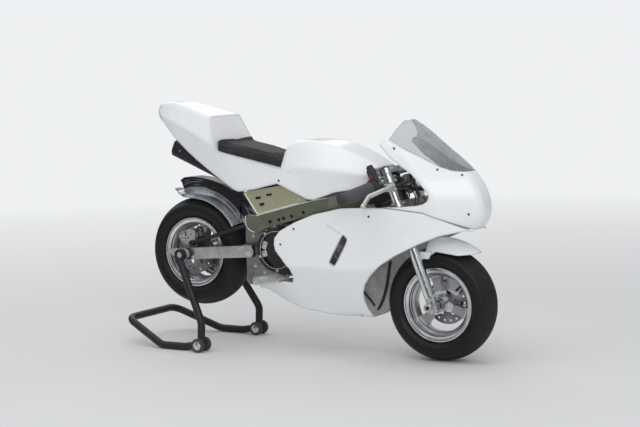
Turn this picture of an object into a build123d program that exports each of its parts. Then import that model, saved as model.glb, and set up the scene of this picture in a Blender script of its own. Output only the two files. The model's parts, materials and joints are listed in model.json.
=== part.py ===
from build123d import *
from math import acos, atan2, cos, hypot, pi, radians, sin
import os

os.makedirs("parts", exist_ok=True)

# Pocket bike standing on its paddock stand. Millimetres, +X forward, +Y to the bike's left, +Z up.
# The origin is on the floor under the middle of the whole outline.

# Stance: the front wheel stands on the floor and the stand lifts the rear one
FRONT_AXLE_X = 386.0
WHEELBASE = 712.0
AXLE_RISE = 105.5
FRONT_TYRE_RADIUS = 142.0
FRONT_TYRE_HALF = 45.0
REAR_TYRE_RADIUS = 145.0
REAR_TYRE_HALF = 52.0
REAR_AXLE_X = FRONT_AXLE_X - WHEELBASE
FRONT_AXLE_Z = FRONT_TYRE_RADIUS
REAR_AXLE_Z = FRONT_AXLE_Z + AXLE_RISE

# Rims for 6.5 inch tyres
BEAD_RADIUS = 82.5
FLANGE_RADIUS = 92.0
FLANGE_WIDTH = 3.7
RIM_WALL = 3.5
WELL_DEPTH = 8.5
FRONT_RIM_HALF = 32.0
REAR_RIM_HALF = 44.0
HUB_RADIUS = 22.0
SPOKES = 3
SPOKE_THICKNESS = 20.0
TYRE_SEAT_GAP = 0.3

# Axles and bearings
AXLE_RADIUS = 7.5
FRONT_AXLE_BORE = 4.0
RUNNING_GAP = 0.05
SIDE_GAP = 1.0

# Brakes and final drive
DISC_RADIUS = 56.0
DISC_BORE = 34.0
DISC_THICKNESS = 3.5
FRONT_DISC_Y = 24.0
REAR_DISC_Y = -30.0
SPROCKET_RADIUS = 70.0
SPROCKET_THICKNESS = 4.0
CHAIN_Y = 63.5
CHAIN_HEIGHT = 8.0
CHAIN_WIDTH = 9.0
CHAIN_GAP = 0.6
PINION_RADIUS = 16.0
SPROCKET_TEETH = 56
PINION_TEETH = 12
TOOTH_GAP = [(-3.5, 0), (1, -2.4), (1, 2.4)]
CHAIN_LINKS = 108
CHAIN_NOTCH = 1.7

# Steering: fork legs raked back, the steering axis behind them
RAKE = 20.2
FORK_LEAD = 6.0
FORK_OFFSET = 22.0
FORK_HALF_SPACING = 67.0
FORK_TUBE_RADIUS = 11.0
FORK_SLIDER_RADIUS = 13.0
FORK_LENGTH = 358.0
SLIDER_LENGTH = 158.0
BOTTOM_YOKE_AT = 262.0
TOP_YOKE_AT = FORK_LENGTH - 8
YOKE_THICKNESS = 14.0
STEM_RADIUS = 9.0
HEAD_TUBE_RADIUS = 19.0
STEM_STAND = 4.0

# Controls
GRIP_RADIUS = 15.0
BAR_RADIUS = 9.5
GRIP_LENGTH = 104.0

# Frame and swingarm
FRAME_OUTER = 75.0
FRAME_PLATE = 12.0
PANEL_THICKNESS = 3.0
ARM_INNER = 72.0
ARM_WIDTH = 18.0
PIVOT_X = -122.0
PIVOT_Z = 262.0

# Bodywork
FAIRING_WALL = 3.0
SCREEN_WALL = 2.0
SEAT_WALL = 3.5
TANK_STANDOFF = 27.0
TANK_LIP_GAP = 5.5

# Engine
CRANK_X = -42.0
CRANK_Z = 268.0
STARTER_RADIUS = 57.0

# Paddock stand
STAND_TUBE = 10.0
STAND_HALF = 140.0
STAND_HOOK_HALF = 97.0
ROLLER_RADIUS = 18.3
ROLLER_WIDTH = 9.0
STAND_FOOT_X = -247.0
STAND_REAR_X = -516.5
STAND_BEND_Z = 77.0
HANDLE_HALF = 106.0
HANDLE_Z = 68.0

FRONT_AXLE = Vector(FRONT_AXLE_X, 0, FRONT_AXLE_Z)
REAR_AXLE = Vector(REAR_AXLE_X, 0, REAR_AXLE_Z)
FORK_UP = Vector(-sin(radians(RAKE)), 0, cos(radians(RAKE)))
FORK_BACK = Vector(-cos(radians(RAKE)), 0, -sin(radians(RAKE)))
FORK_FOOT = FRONT_AXLE - FORK_BACK * FORK_LEAD
STEER_FOOT = FORK_FOOT + FORK_BACK * FORK_OFFSET


def put(part, label):
    """Labels a finished piece and writes it under the same name."""
    part.label = label
    export_step(part, f"parts/{label}.step")
    print(label, round(part.volume))


def across(centre, side=1.0):
    """Plane through a centre that faces sideways: X forward, Z up, normal to the given side."""
    return Plane(origin=centre, x_dir=(side, 0, 0), z_dir=(0, -side, 0))


def side_plane(y):
    """Plane at a distance from the middle, drawn in X and Z, normal to the bike's right."""
    return Plane(origin=(0, y, 0), x_dir=(1, 0, 0), z_dir=(0, -1, 0))


def rod(start, end, radius):
    """Round bar between two points."""
    path = Vector(*end) - Vector(*start)
    with BuildPart() as bar:
        with BuildSketch(Plane(origin=start, z_dir=path)):
            Circle(radius)
        extrude(amount=path.length)
    return bar.part


def tube_along(points, radii, radius):
    """Round tube bent along a route, each bend with its own radius."""
    with BuildPart() as tube:
        with BuildLine() as route:
            FilletPolyline(*points, radius=radii)
        with BuildSketch(Plane(origin=route.line @ 0, z_dir=route.line % 0)):
            Circle(radius)
        sweep()
    return tube.part


def outline_block(points, y_low, y_high, radius=0.0):
    """Slab with a side-view outline of points (x, z), between two distances from the middle."""
    with BuildPart() as slab:
        with BuildSketch(side_plane(y_high)) as sketch:
            with BuildLine():
                Polyline(*points, close=True)
            make_face()
            if radius:
                fillet(sketch.vertices(), radius)
        extrude(amount=y_high - y_low)
    return slab.part


def mirrored(part):
    """The same piece on the other side of the bike."""
    return part.mirror(Plane.XZ)


def both_sides(part):
    """A piece and its mirror image as one node of two solids."""
    return part + mirrored(part)


def cross_loft(table, inset=0.0, drop=0.0):
    """Lofts sections that stand across the bike.

    Columns of the table: x, then height and half width of the low, middle and top corners, then the
    radius of the corners. An inset draws the inner side of a wall, and a drop runs its sides on down
    along their own slope, so that the wall is open below.
    """
    with BuildPart() as body:
        for x, z_low, w_low, z_mid, w_mid, z_top, w_top, radius in table:
            w_low -= (w_mid - w_low) * drop / (z_mid - z_low)
            z_low -= drop
            with BuildSketch(Plane.YZ.offset(x)) as section:
                right = [(w_low - inset, z_low + inset), (w_mid - inset, z_mid), (w_top - inset, z_top - inset)]
                with BuildLine():
                    Polyline(*right, *[(-w, z) for w, z in reversed(right)], close=True)
                make_face()
                fillet(section.vertices(), max(radius - inset, 1.0))
        loft()
    return body.part


def level_loft(table, inset=0.0):
    """Lofts level sections, each a rounded nose that is open behind.

    Columns of the table: height, nose x and half width, shoulder x and half width, rear half width,
    shoulder radius and nose radius.
    """
    with BuildPart() as body:
        for z, x_nose, w_nose, x_mid, w_mid, w_rear, r_mid, r_nose in table:
            with BuildSketch(Plane.XY.offset(z)) as section:
                left = [(NOSE_REAR_X, w_rear - inset), (x_mid, w_mid - inset), (x_nose - inset, w_nose - inset / 2)]
                with BuildLine():
                    Polyline(*left, *[(x, -w) for x, w in reversed(left)], close=True)
                make_face()
                columns = section.vertices().group_by(Axis.X)
                fillet(columns[1], r_mid)
                columns = section.vertices().group_by(Axis.X)
                fillet(columns[-1], r_nose)
        loft()
    return body.part


# Tyres

def make_tyre(axle, radius, half, bead_half, shoulder_drop, shoulder_in):
    """Tyre of revolution: beads inside the flanges, round walls and a crowned tread."""
    wall_radius = (FLANGE_RADIUS + radius) / 2
    shoulder = radius - shoulder_drop
    with BuildPart() as tyre:
        with BuildSketch(Plane(origin=axle)):
            with BuildLine():
                Line((BEAD_RADIUS + TYRE_SEAT_GAP, -bead_half), (BEAD_RADIUS + TYRE_SEAT_GAP, bead_half))
                Line((BEAD_RADIUS + TYRE_SEAT_GAP, bead_half), (FLANGE_RADIUS + 1, bead_half))
                ThreePointArc(
                    (FLANGE_RADIUS + 1, bead_half), (wall_radius - 8, half - 1), (shoulder, half - shoulder_in)
                )
                ThreePointArc((shoulder, half - shoulder_in), (radius, 0), (shoulder, -half + shoulder_in))
                ThreePointArc(
                    (shoulder, -half + shoulder_in), (wall_radius - 8, -half + 1), (FLANGE_RADIUS + 1, -bead_half)
                )
                Line((FLANGE_RADIUS + 1, -bead_half), (BEAD_RADIUS + TYRE_SEAT_GAP, -bead_half))
            make_face()
        revolve(axis=Axis(axle, (0, 1, 0)))
    return tyre.part


front_tyre = make_tyre(FRONT_AXLE, FRONT_TYRE_RADIUS, FRONT_TYRE_HALF, FRONT_RIM_HALF - 4, 16, 4)
put(front_tyre, "front_tyre")
rear_tyre = make_tyre(REAR_AXLE, REAR_TYRE_RADIUS, REAR_TYRE_HALF, REAR_RIM_HALF - 4, 19, 3)
put(rear_tyre, "rear_tyre")


# Rims: dished barrel with stepped lips, hub and three wide spokes

def make_rim(axle, half, hub_right, hub_left, spoke_angle):
    """Cast wheel without its tyre. The hub ends at its own distance on each side."""
    seat = BEAD_RADIUS
    well = seat - WELL_DEPTH
    bead = half - FLANGE_WIDTH
    outer = [
        (FLANGE_RADIUS, half), (FLANGE_RADIUS, bead), (seat, bead), (seat, bead * 0.62), (well, bead * 0.45),
    ]
    inner = [
        (well - RIM_WALL, bead * 0.36), (seat - 2 - RIM_WALL, bead * 0.58), (seat - 2 - RIM_WALL, half - 10),
        (seat - 3, half - 7), (seat - 3, half - 3.5), (seat + 2, half - 1.5), (FLANGE_RADIUS - 3.5, half - 1),
        (FLANGE_RADIUS - 3.5, half),
    ]
    ring = outer + [(r, -y) for r, y in reversed(outer)]
    ring += [(r, -y) for r, y in reversed(inner)] + inner
    spin_axis = Axis(axle, (0, 1, 0))
    with BuildPart() as rim:
        with BuildSketch(Plane(origin=axle)):
            with BuildLine():
                Polyline(*ring, close=True)
            make_face()
        revolve(axis=spin_axis)
        with BuildSketch(across(axle)) as spokes:
            with PolarLocations(0, SPOKES, start_angle=spoke_angle):
                Polygon(
                    (10, 15), (30, 11), (58, 11), (well - 1, 17), (well - 1, -17), (58, -11), (30, -11), (10, -15),
                    align=None,
                )
        extrude(amount=SPOKE_THICKNESS / 2, both=True)
        with BuildSketch(across(axle + Vector(0, hub_left, 0))):
            Circle(HUB_RADIUS)
        extrude(amount=hub_left - hub_right)
        with BuildSketch(across(axle + Vector(0, hub_left, 0))):
            Circle(AXLE_RADIUS + RUNNING_GAP)
        extrude(amount=hub_left - hub_right, mode=Mode.SUBTRACT)
    return rim.part


FRONT_HUB_RIGHT = -34.0
FRONT_HUB_LEFT = FRONT_DISC_Y
REAR_HUB_RIGHT = REAR_DISC_Y
REAR_HUB_LEFT = CHAIN_Y - SPROCKET_THICKNESS / 2
put(make_rim(FRONT_AXLE, FRONT_RIM_HALF, FRONT_HUB_RIGHT, FRONT_HUB_LEFT, -18.0), "front_rim")
put(make_rim(REAR_AXLE, REAR_RIM_HALF, REAR_HUB_RIGHT, REAR_HUB_LEFT, 80.0), "rear_rim")


# Brake discs: bolted to the hub's end, with lightening holes

def make_disc(axle, y):
    """Brake disc that starts at a distance y from the middle and grows outwards."""
    out = 1.0 if y > 0 else -1.0
    with BuildPart() as disc:
        with BuildSketch(Plane(origin=axle + Vector(0, y, 0), x_dir=(1, 0, 0), z_dir=(0, out, 0))):
            Circle(DISC_RADIUS)
            Circle(AXLE_RADIUS + 4, mode=Mode.SUBTRACT)
            with PolarLocations((DISC_RADIUS + DISC_BORE) / 2 + 2, 18):
                Circle(3, mode=Mode.SUBTRACT)
            with PolarLocations(DISC_BORE - 4, 6):
                Circle(6, mode=Mode.SUBTRACT)
        extrude(amount=DISC_THICKNESS)
    return disc.part


put(make_disc(FRONT_AXLE, FRONT_DISC_Y), "front_brake_disc")
put(make_disc(REAR_AXLE, REAR_DISC_Y), "rear_brake_disc")

# Rear sprocket
with BuildPart() as rear_sprocket:
    with BuildSketch(across(REAR_AXLE + Vector(0, CHAIN_Y + SPROCKET_THICKNESS / 2, 0))):
        Circle(SPROCKET_RADIUS)
        Circle(AXLE_RADIUS + 4, mode=Mode.SUBTRACT)
        with PolarLocations(46, 6):
            Circle(13, mode=Mode.SUBTRACT)
        with PolarLocations(SPROCKET_RADIUS, SPROCKET_TEETH):
            Polygon(*TOOTH_GAP, align=None, mode=Mode.SUBTRACT)
    extrude(amount=SPROCKET_THICKNESS)
put(rear_sprocket.part, "rear_sprocket")

# Engine: crankcase and cylinder as one mass, with its housings on both sides
PINION_CENTRE = Vector(CRANK_X, 0, CRANK_Z)
with BuildPart() as engine:
    with BuildSketch(Plane(origin=(CRANK_X + 5, 0, CRANK_Z))):
        RectangleRounded(116, 92, 14)
    extrude(amount=55, both=True)
    with BuildSketch(Plane(origin=(CRANK_X + 40, 0, CRANK_Z - 10), z_dir=(1, 0, 0.25))):
        Circle(36)
    extrude(amount=112)
    with Locations([Plane(origin=(CRANK_X + 68 + step * 9, 0, CRANK_Z - 3 + step * 2.2), z_dir=(1, 0, 0.25)).location
                    for step in range(9)]):
        Cylinder(48, 3.5)
put(engine.part, "engine")

with BuildPart() as starter_housing:
    with BuildSketch(across(PINION_CENTRE + Vector(0, -46.3, 0))):
        Circle(STARTER_RADIUS - 8)
    extrude(amount=11)
    with BuildSketch(across(PINION_CENTRE + Vector(0, -57.3, 0))):
        Circle(STARTER_RADIUS)
    extrude(amount=29)
    with BuildSketch(across(PINION_CENTRE + Vector(0, -86.3, 0))):
        Circle(STARTER_RADIUS - 9)
        Circle(15, mode=Mode.SUBTRACT)
    extrude(amount=-9, mode=Mode.SUBTRACT)
SHROUD_OUTLINE = [
    (-54, 313), (-74, 300), (-81, 276), (-73, 251), (-53, 226), (-30, 207), (-5, 207), (-12, 245), (-32, 270),
    (-34, 300), (-20, 318), (-40, 320),
]
put(starter_housing.part + outline_block(SHROUD_OUTLINE, -84, -77), "starter_housing")

with BuildPart() as clutch_housing:
    with BuildSketch(across(PINION_CENTRE + Vector(0, CHAIN_Y - 7, 0))):
        Circle(STARTER_RADIUS - 6)
    extrude(amount=CHAIN_Y - 7 - 46.3)
put(clutch_housing.part, "clutch_housing")

with BuildPart() as front_sprocket:
    with BuildSketch(across(PINION_CENTRE + Vector(0, CHAIN_Y + SPROCKET_THICKNESS / 2, 0))):
        Circle(PINION_RADIUS)
        with PolarLocations(PINION_RADIUS, PINION_TEETH):
            Polygon(*TOOTH_GAP, align=None, mode=Mode.SUBTRACT)
    extrude(amount=SPROCKET_THICKNESS + 5)
put(front_sprocket.part, "front_sprocket")


# Chain: a closed loop round both sprockets, waisted between its links
chain_reach = hypot(CRANK_X - REAR_AXLE_X, CRANK_Z - REAR_AXLE_Z)
chain_turn = atan2(CRANK_Z - REAR_AXLE_Z, CRANK_X - REAR_AXLE_X)
loop_big = SPROCKET_RADIUS + CHAIN_GAP + CHAIN_HEIGHT / 2
loop_small = PINION_RADIUS + CHAIN_GAP + CHAIN_HEIGHT / 2
chain_lean = acos((loop_big - loop_small) / chain_reach)
chain_run = chain_reach * sin(chain_lean)
round_big = loop_big * 2 * (pi - chain_lean)
round_small = loop_small * 2 * chain_lean


def chain_spot(share, out):
    """Point (x, z) at a share of the loop's length, a distance outwards from its middle line."""
    way = share * (round_big + round_small + 2 * chain_run)
    x, z, radius, run, angle = REAR_AXLE_X, REAR_AXLE_Z, loop_big, 0.0, chain_turn + chain_lean
    if way < round_big:
        angle += way / loop_big
    elif way < round_big + chain_run:
        run, angle = way - round_big, chain_turn - chain_lean
    else:
        x, z, radius = CRANK_X, CRANK_Z, loop_small
        beyond = way - round_big - chain_run
        if beyond < round_small:
            angle = chain_turn - chain_lean + beyond / loop_small
        else:
            run = beyond - round_small
    radius += out
    return (x + radius * cos(angle) - run * sin(angle), z + radius * sin(angle) + run * cos(angle))


chain_outer = []
chain_inner = []
for link in range(CHAIN_LINKS):
    for share, notch in ((0.15, 0.0), (0.85, 0.0), (1.0, CHAIN_NOTCH)):
        half = CHAIN_HEIGHT / 2 - notch
        chain_outer.append(chain_spot((link + share) / CHAIN_LINKS % 1.0, half))
        chain_inner.append(chain_spot((link + share) / CHAIN_LINKS % 1.0, -half))
chain_sides = (CHAIN_Y - CHAIN_WIDTH / 2, CHAIN_Y + CHAIN_WIDTH / 2)
chain_loop = outline_block(chain_outer, *chain_sides) - outline_block(chain_inner, *chain_sides)
put(chain_loop.solids()[0], "chain")

# Rear axle and swingarm
ARM_OUTER = ARM_INNER + ARM_WIDTH
ARM_REAR = REAR_AXLE_X - 52
with BuildPart() as swingarm:
    for side in (1, -1):
        with BuildSketch(side_plane(side * ARM_INNER)):
            with BuildLine():
                Polyline(
                    (PIVOT_X + 8, PIVOT_Z + 16), (ARM_REAR, REAR_AXLE_Z + 12), (ARM_REAR, REAR_AXLE_Z + 2),
                    (ARM_REAR + 34, REAR_AXLE_Z - 15), (PIVOT_X + 8, PIVOT_Z - 15), close=True,
                )
            make_face()
        extrude(amount=-side * ARM_WIDTH)
    with BuildSketch(side_plane(ARM_INNER + 1)):
        with Locations((PIVOT_X - 42.2, PIVOT_Z - 1)):
            RectangleRounded(16, 26, 4)
    extrude(amount=2 * ARM_INNER + 2)
    with Locations(Location((PIVOT_X, 0, PIVOT_Z), (90, 0, 0)), Location(REAR_AXLE, (90, 0, 0))):
        Cylinder(AXLE_RADIUS + 0.3, 2 * ARM_OUTER + 10, mode=Mode.SUBTRACT)
put(swingarm.part, "swingarm")

with BuildPart() as rear_axle:
    with BuildSketch(across(REAR_AXLE + Vector(0, STAND_HOOK_HALF + 17, 0))):
        Circle(AXLE_RADIUS)
    extrude(amount=2 * STAND_HOOK_HALF + 34)
    for y_start, y_end in (
        (ARM_OUTER + 8, ARM_OUTER + 0.2),
        (-ARM_OUTER - 0.2, -ARM_OUTER - 8),
        (ARM_INNER - 0.2, REAR_HUB_LEFT + SPROCKET_THICKNESS + SIDE_GAP),
        (REAR_DISC_Y - DISC_THICKNESS - SIDE_GAP, -ARM_INNER + 0.2),
    ):
        with BuildSketch(across(REAR_AXLE + Vector(0, y_start, 0))):
            Circle(11)
        extrude(amount=y_start - y_end)
put(rear_axle.part, "rear_axle")

# Frame: two side beams that run together to the headstock
BEAM_TOP = [
    (-142, 336), (-141, 350), (-134, 355), (-107, 354), (20, 387), (71, 398.7), (126, 409), (205, 423.5), (232, 430),
    (278, 452),
]
BEAM_LOW = [
    (292, 420), (240, 392), (143, 376), (25, 351), (-76, 322), (-96, 313), (-103, 309.5), (-110, 308.5), (-116, 311),
    (-132, 325),
]
CROSS_TUBE = (-128, 336)
CROSS_TUBE_RADIUS = 11.0
HEAD_LOW = STEER_FOOT + FORK_UP * (BOTTOM_YOKE_AT + YOKE_THICKNESS / 2 + SIDE_GAP)
HEAD_LENGTH = TOP_YOKE_AT - BOTTOM_YOKE_AT - YOKE_THICKNESS - 2 * SIDE_GAP
with BuildPart() as frame:
    with BuildSketch(side_plane(FRAME_OUTER)):
        with BuildLine():
            Polyline(*BEAM_TOP, *BEAM_LOW, close=True)
        make_face()
    extrude(amount=2 * FRAME_OUTER)
    with BuildSketch(Plane.XY.offset(250)):
        with BuildLine():
            Polyline(
                (-160, FRAME_OUTER), (110, FRAME_OUTER), (262, 18), (262, -18), (110, -FRAME_OUTER),
                (-160, -FRAME_OUTER), (-160, -FRAME_OUTER + FRAME_PLATE), (104, -FRAME_OUTER + FRAME_PLATE),
                (236, -10), (236, 10), (104, FRAME_OUTER - FRAME_PLATE), (-160, FRAME_OUTER - FRAME_PLATE),
                close=True,
            )
        make_face()
    extrude(amount=300, mode=Mode.INTERSECT)
    with BuildSketch(Plane(origin=HEAD_LOW, z_dir=FORK_UP)):
        Circle(HEAD_TUBE_RADIUS)
    extrude(amount=HEAD_LENGTH)
    with BuildSketch(Plane(origin=HEAD_LOW, z_dir=FORK_UP)):
        Circle(STEM_RADIUS + RUNNING_GAP)
    extrude(amount=HEAD_LENGTH, mode=Mode.SUBTRACT)
    with BuildSketch(side_plane(FRAME_OUTER)):
        with Locations(CROSS_TUBE):
            Circle(CROSS_TUBE_RADIUS)
    extrude(amount=2 * FRAME_OUTER)
    with BuildSketch(side_plane(FRAME_OUTER)):
        with Locations((-65, 339), (-38, 345), (-24, 349), (0, 355), (36, 366)):
            Circle(4.5)
    extrude(amount=2 * FRAME_OUTER, mode=Mode.SUBTRACT)

# Pivot plates inside the chain line, hung on the frame's cross tube
PLATE_INNER = 47.0
PLATE_OUTER = 57.0
PLATE_OUTLINE = [
    (-152, 352), (-152, 176), (-138, 171), (-119, 175), (-30, 191), (-22, 207), (-70, 212), (-97, 234), (-97, 352),
]
plate_bores = rod((PIVOT_X, -100, PIVOT_Z), (PIVOT_X, 100, PIVOT_Z), AXLE_RADIUS + 0.2)
plate_bores += rod((CROSS_TUBE[0], -100, CROSS_TUBE[1]), (CROSS_TUBE[0], 100, CROSS_TUBE[1]), CROSS_TUBE_RADIUS)
pivot_plate_right = outline_block(PLATE_OUTLINE, -PLATE_OUTER, -PLATE_INNER, 6) - plate_bores
put(both_sides(pivot_plate_right), "pivot_plates")
pivot_bolt = rod((PIVOT_X, -ARM_OUTER - 4, PIVOT_Z), (PIVOT_X, ARM_OUTER + 4, PIVOT_Z), AXLE_RADIUS)
put(pivot_bolt, "pivot_bolt")

# Side panels between seat and frame
PANEL_OUTLINE = [(-146, 414), (-104, 355.2), (20, 387.4), (42, 392.4), (45, 396), (-14, 427), (-38, 432)]
side_panel_right = outline_block(PANEL_OUTLINE, -72, -72 + PANEL_THICKNESS, 2)
PANEL_CUTS = [(-101, 399.5, 8.5, 3.5), (-67.5, 408.5, 8.5, 3.0), (-90, 382.5, 7.5, 4.5)]
for cut_x, cut_z, half_long, half_high in PANEL_CUTS:
    side_panel_right -= outline_block(
        [
            (cut_x - half_long, cut_z - half_high - 1), (cut_x + half_long, cut_z - half_high + 1),
            (cut_x + half_long, cut_z + half_high + 1), (cut_x - half_long, cut_z + half_high - 1),
        ],
        -80, -60, 2,
    )
put(both_sides(side_panel_right), "side_panels")

# Seat and tank unit. Columns: x, low z, half width, middle z, half width, top z, half width, radius
TAIL_SECTIONS = [
    (-442, 600, 15, 620, 25, 640, 15, 8),
    (-405, 570, 36, 605, 48, 647, 34, 12),
    (-335, 514, 56, 582, 71, 637, 51, 14),
    (-245, 450, 70, 546, 95, 611, 70, 16),
    (-150, 398, 76, 520, 98, 600, 72, 16),
    (-55, 383, 78, 493, 88, 592, 68, 16),
    (40, 383, 77, 478, 84, 590, 66, 16),
]
TANK_SECTIONS = [
    (-36, 425, 58, 478, 63, 508, 44, 12),
    (-14, 400, 68, 478, 73, 538, 49, 16),
    (25, 386, 77, 478, 84, 547, 54, 20),
    (75, 386, 80, 477, 94, 544, 57, 20),
    (125, 388, 78, 475, 97, 533, 57, 20),
    (175, 396, 69, 470, 88, 515, 52, 18),
    (212, 410, 55, 464, 72, 498, 45, 13),
    (240, 420, 44, 460, 60, 482, 37, 9),
]
SKIRT_CUT = [
    (-470, 603), (-420, 594), (-373, 552), (-327, 518), (-284, 490), (-218, 449), (-172, 420), (-157, 415),
    (-110, 421), (-37, 438), (-17, 430), (48, 400), (71, 399), (132, 419), (190, 428), (280, 440), (280, 300),
    (-470, 300),
]
FACET_TOP = (-243, 607)
FACET_FOOT = (-215, 521)
PAN_FRONT = (60, 452.5)
seat_cut = outline_block([(-252, 700), FACET_TOP, FACET_FOOT, PAN_FRONT, (60, 700)], -120, 120)
inner_cut = outline_block(
    [
        (-258, 700), (FACET_TOP[0] - 4, 606), (FACET_FOOT[0] - 4, FACET_FOOT[1] - 4),
        (PAN_FRONT[0], PAN_FRONT[1] - 4), (60, 700),
    ],
    -120, 120,
)
skirt_cut = outline_block(SKIRT_CUT, -120, 120)
tail_outer = cross_loft(TAIL_SECTIONS) - seat_cut
tail_inner = cross_loft(TAIL_SECTIONS[1:], SEAT_WALL, 40) - inner_cut
lip_back = STEER_FOOT + FORK_BACK * TANK_STANDOFF
lip_at = TOP_YOKE_AT + YOKE_THICKNESS / 2 + STEM_STAND + TANK_LIP_GAP
head_cut = outline_block(
    [
        (point.X, point.Z) for point in (
            lip_back + FORK_UP * 200, lip_back + FORK_UP * lip_at,
            lip_back + FORK_UP * lip_at - FORK_BACK * 90, lip_back + FORK_UP * 200 - FORK_BACK * 90,
        )
    ],
    -130, 130,
)
seat_tank_unit = (tail_outer - tail_inner) + cross_loft(TANK_SECTIONS) - skirt_cut - head_cut
put(seat_tank_unit.solids().sort_by(SortBy.VOLUME)[-1], "seat_tank_unit")

# Seat pad on the pan, turned up a little against the back rest
PAD_OUTLINE = [
    (-215, 521), (-222.8, 545), (-219, 550), (-212, 550.5), (-203, 544), (-190, 538), (-130, 526), (-70, 511),
    (-49, 504), (-40, 497), (-37.4, 489), (-38.4, 479), (-40, 477.5),
]
with BuildPart() as seat_pad:
    with BuildSketch(side_plane(88)) as pad_side:
        with BuildLine():
            Polyline(*PAD_OUTLINE, close=True)
        make_face()
        offset(amount=-0.4)
    extrude(amount=176)
    with BuildSketch(Plane.XY.offset(400)) as pad_top:
        with BuildLine():
            Polyline((-230, 84), (-196, 86), (-37, 56), (-37, -56), (-196, -86), (-230, -84), close=True)
        make_face()
        fillet(pad_top.vertices(), 14)
    extrude(amount=200, mode=Mode.INTERSECT)
put(seat_pad.part, "seat_pad")

# Upper fairing and windscreen from one form. Columns: height, nose x, half width, shoulder x,
# half width, rear half width, shoulder radius, nose radius
NOSE_REAR_X = 240.0
NOSE_SECTIONS = [
    (322, 476, 24, 400, 78, 92, 50, 18),
    (352, 506, 28, 412, 86, 97, 60, 22),
    (386, 512, 30, 410, 90, 100, 60, 24),
    (430, 499, 30, 395, 92, 101, 60, 24),
    (476, 466, 28, 362, 90, 100, 60, 22),
    (515, 420, 25, 330, 84, 97, 50, 20),
    (552, 375, 22, 302, 72, 90, 40, 17),
    (580, 341, 16, 284, 54, 66, 28, 12),
    (596, 318, 10, 275, 30, 36, 16, 7),
]
SCREEN_LINE = [(285, 550), (317, 533), (366, 508), (411, 484), (440, 474), (461, 471.5), (540, 470)]
SCREEN_GAP = 0.35
FAIRING_OUTLINE = [
    (266, 539), (270, 545), (277, 549.5), *SCREEN_LINE, (540, 320), (492, 328), (480, 334), (418, 361), (381, 374.5), (275, 386.5), (323, 388), (366, 392),
    (383, 396.5), (393, 403), (397, 412), (395, 420), (388, 430), (374, 446), (352, 468), (326, 485), (294, 507),
    (276, 527), (268, 534),
]
SCREEN_OUTLINE = [(x, z + SCREEN_GAP) for x, z in SCREEN_LINE] + [(540, 620), (306, 620), (292, 565)]
nose_shell = level_loft(NOSE_SECTIONS) - level_loft(
    [(NOSE_SECTIONS[0][0] - 5, *NOSE_SECTIONS[0][1:])] + NOSE_SECTIONS[1:], FAIRING_WALL
)
screen_shell = level_loft(NOSE_SECTIONS) - level_loft(NOSE_SECTIONS, SCREEN_WALL)
upper_fairing = nose_shell & outline_block(FAIRING_OUTLINE, -130, 130)
put(upper_fairing.solids().sort_by(SortBy.VOLUME)[-1], "upper_fairing")
windscreen = screen_shell & outline_block(SCREEN_OUTLINE, -130, 130)
put(windscreen.solids().sort_by(SortBy.VOLUME)[-1], "windscreen")

# Lower fairing, in two halves that meet under the belly. Columns as for the seat unit
BELLY_SECTIONS = [
    (-126, 150, 40, 230, 84, 400, 84, 20),
    (0, 108, 46, 230, 101, 400, 97, 24),
    (120, 98, 48, 230, 106, 400, 98, 26),
    (245, 96, 44, 235, 106, 400, 98, 26),
    (360, 96, 30, 270, 98, 400, 91, 24),
    (440, 200, 20, 310, 74, 400, 70, 18),
    (496, 300, 12, 335, 36, 400, 33, 10),
]
BELLY_OUTLINE = [
    (-42, 283), (-40, 300), (-23, 319), (22, 342), (79, 364), (157, 381), (240, 385), (275, 385), (381, 373),
    (418, 359.5), (480, 332.5), (490, 328), (471, 329), (418, 318), (366, 297), (305, 267), (267, 243), (236, 216),
    (214, 190), (205, 171), (202, 152), (206, 128), (214, 112), (213, 104), (206, 100), (118, 103), (12, 117),
    (-69, 143), (-120, 164), (-116, 170), (-25, 188), (2, 186), (9, 203), (3, 223), (-17, 245), (-38, 268),
]
VENT_OUTLINE = [(164, 317), (177, 303), (140, 237), (124, 246)]
belly_space = cross_loft([(*row[:5], row[5] + 20, *row[6:]) for row in BELLY_SECTIONS], FAIRING_WALL)
belly_shell = cross_loft(BELLY_SECTIONS) - belly_space
belly = belly_shell & outline_block(BELLY_OUTLINE, -130, 130)
half_space = outline_block([(-200, 0), (-200, 700), (600, 700), (600, 0)], -200, 0)
vent_cut = outline_block(VENT_OUTLINE, -130, -60, 4)
lower_fairing_right = ((belly & half_space) - vent_cut).solids().sort_by(SortBy.VOLUME)[-1]
put(lower_fairing_right, "lower_fairing_right")
put(mirrored(lower_fairing_right), "lower_fairing_left")

# Fairing stays under the beams, out to the fairing's inner side. Columns: x, z, inner y
FAIRING_STAYS = [(60, 352, 65), (190, 378, 36)]
STAY_RADIUS = 9.0
fairing_stays = [
    rod((x, side * y_inner, z), (x, side * 120, z), STAY_RADIUS) & belly_space
    for x, z, y_inner in FAIRING_STAYS for side in (1, -1)
]
put(frame.part + fairing_stays, "frame")

# Fairing bracket: a bar from the headstock to the nose with a cross piece at its end
BRACKET_Z = 426.0
BRACKET_RADIUS = 6.0
BRACKET_HALF = 60.0
head_front = HEAD_LOW + FORK_UP * ((BRACKET_Z - HEAD_LOW.Z) / cos(radians(RAKE)))
with BuildPart() as fairing_bracket:
    with BuildSketch(Plane.YZ.offset(head_front.X)):
        with Locations((0, BRACKET_Z)):
            Circle(BRACKET_RADIUS)
    extrude(amount=240)
    with BuildSketch(side_plane(BRACKET_HALF)):
        with Locations((458, BRACKET_Z)):
            Circle(BRACKET_RADIUS)
    extrude(amount=2 * BRACKET_HALF)
head_space = rod(HEAD_LOW - FORK_UP * 20, HEAD_LOW + FORK_UP * (HEAD_LENGTH + 20), HEAD_TUBE_RADIUS)
nose_inner = level_loft(NOSE_SECTIONS, FAIRING_WALL)
bracket = (fairing_bracket.part - head_space) & nose_inner
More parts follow.
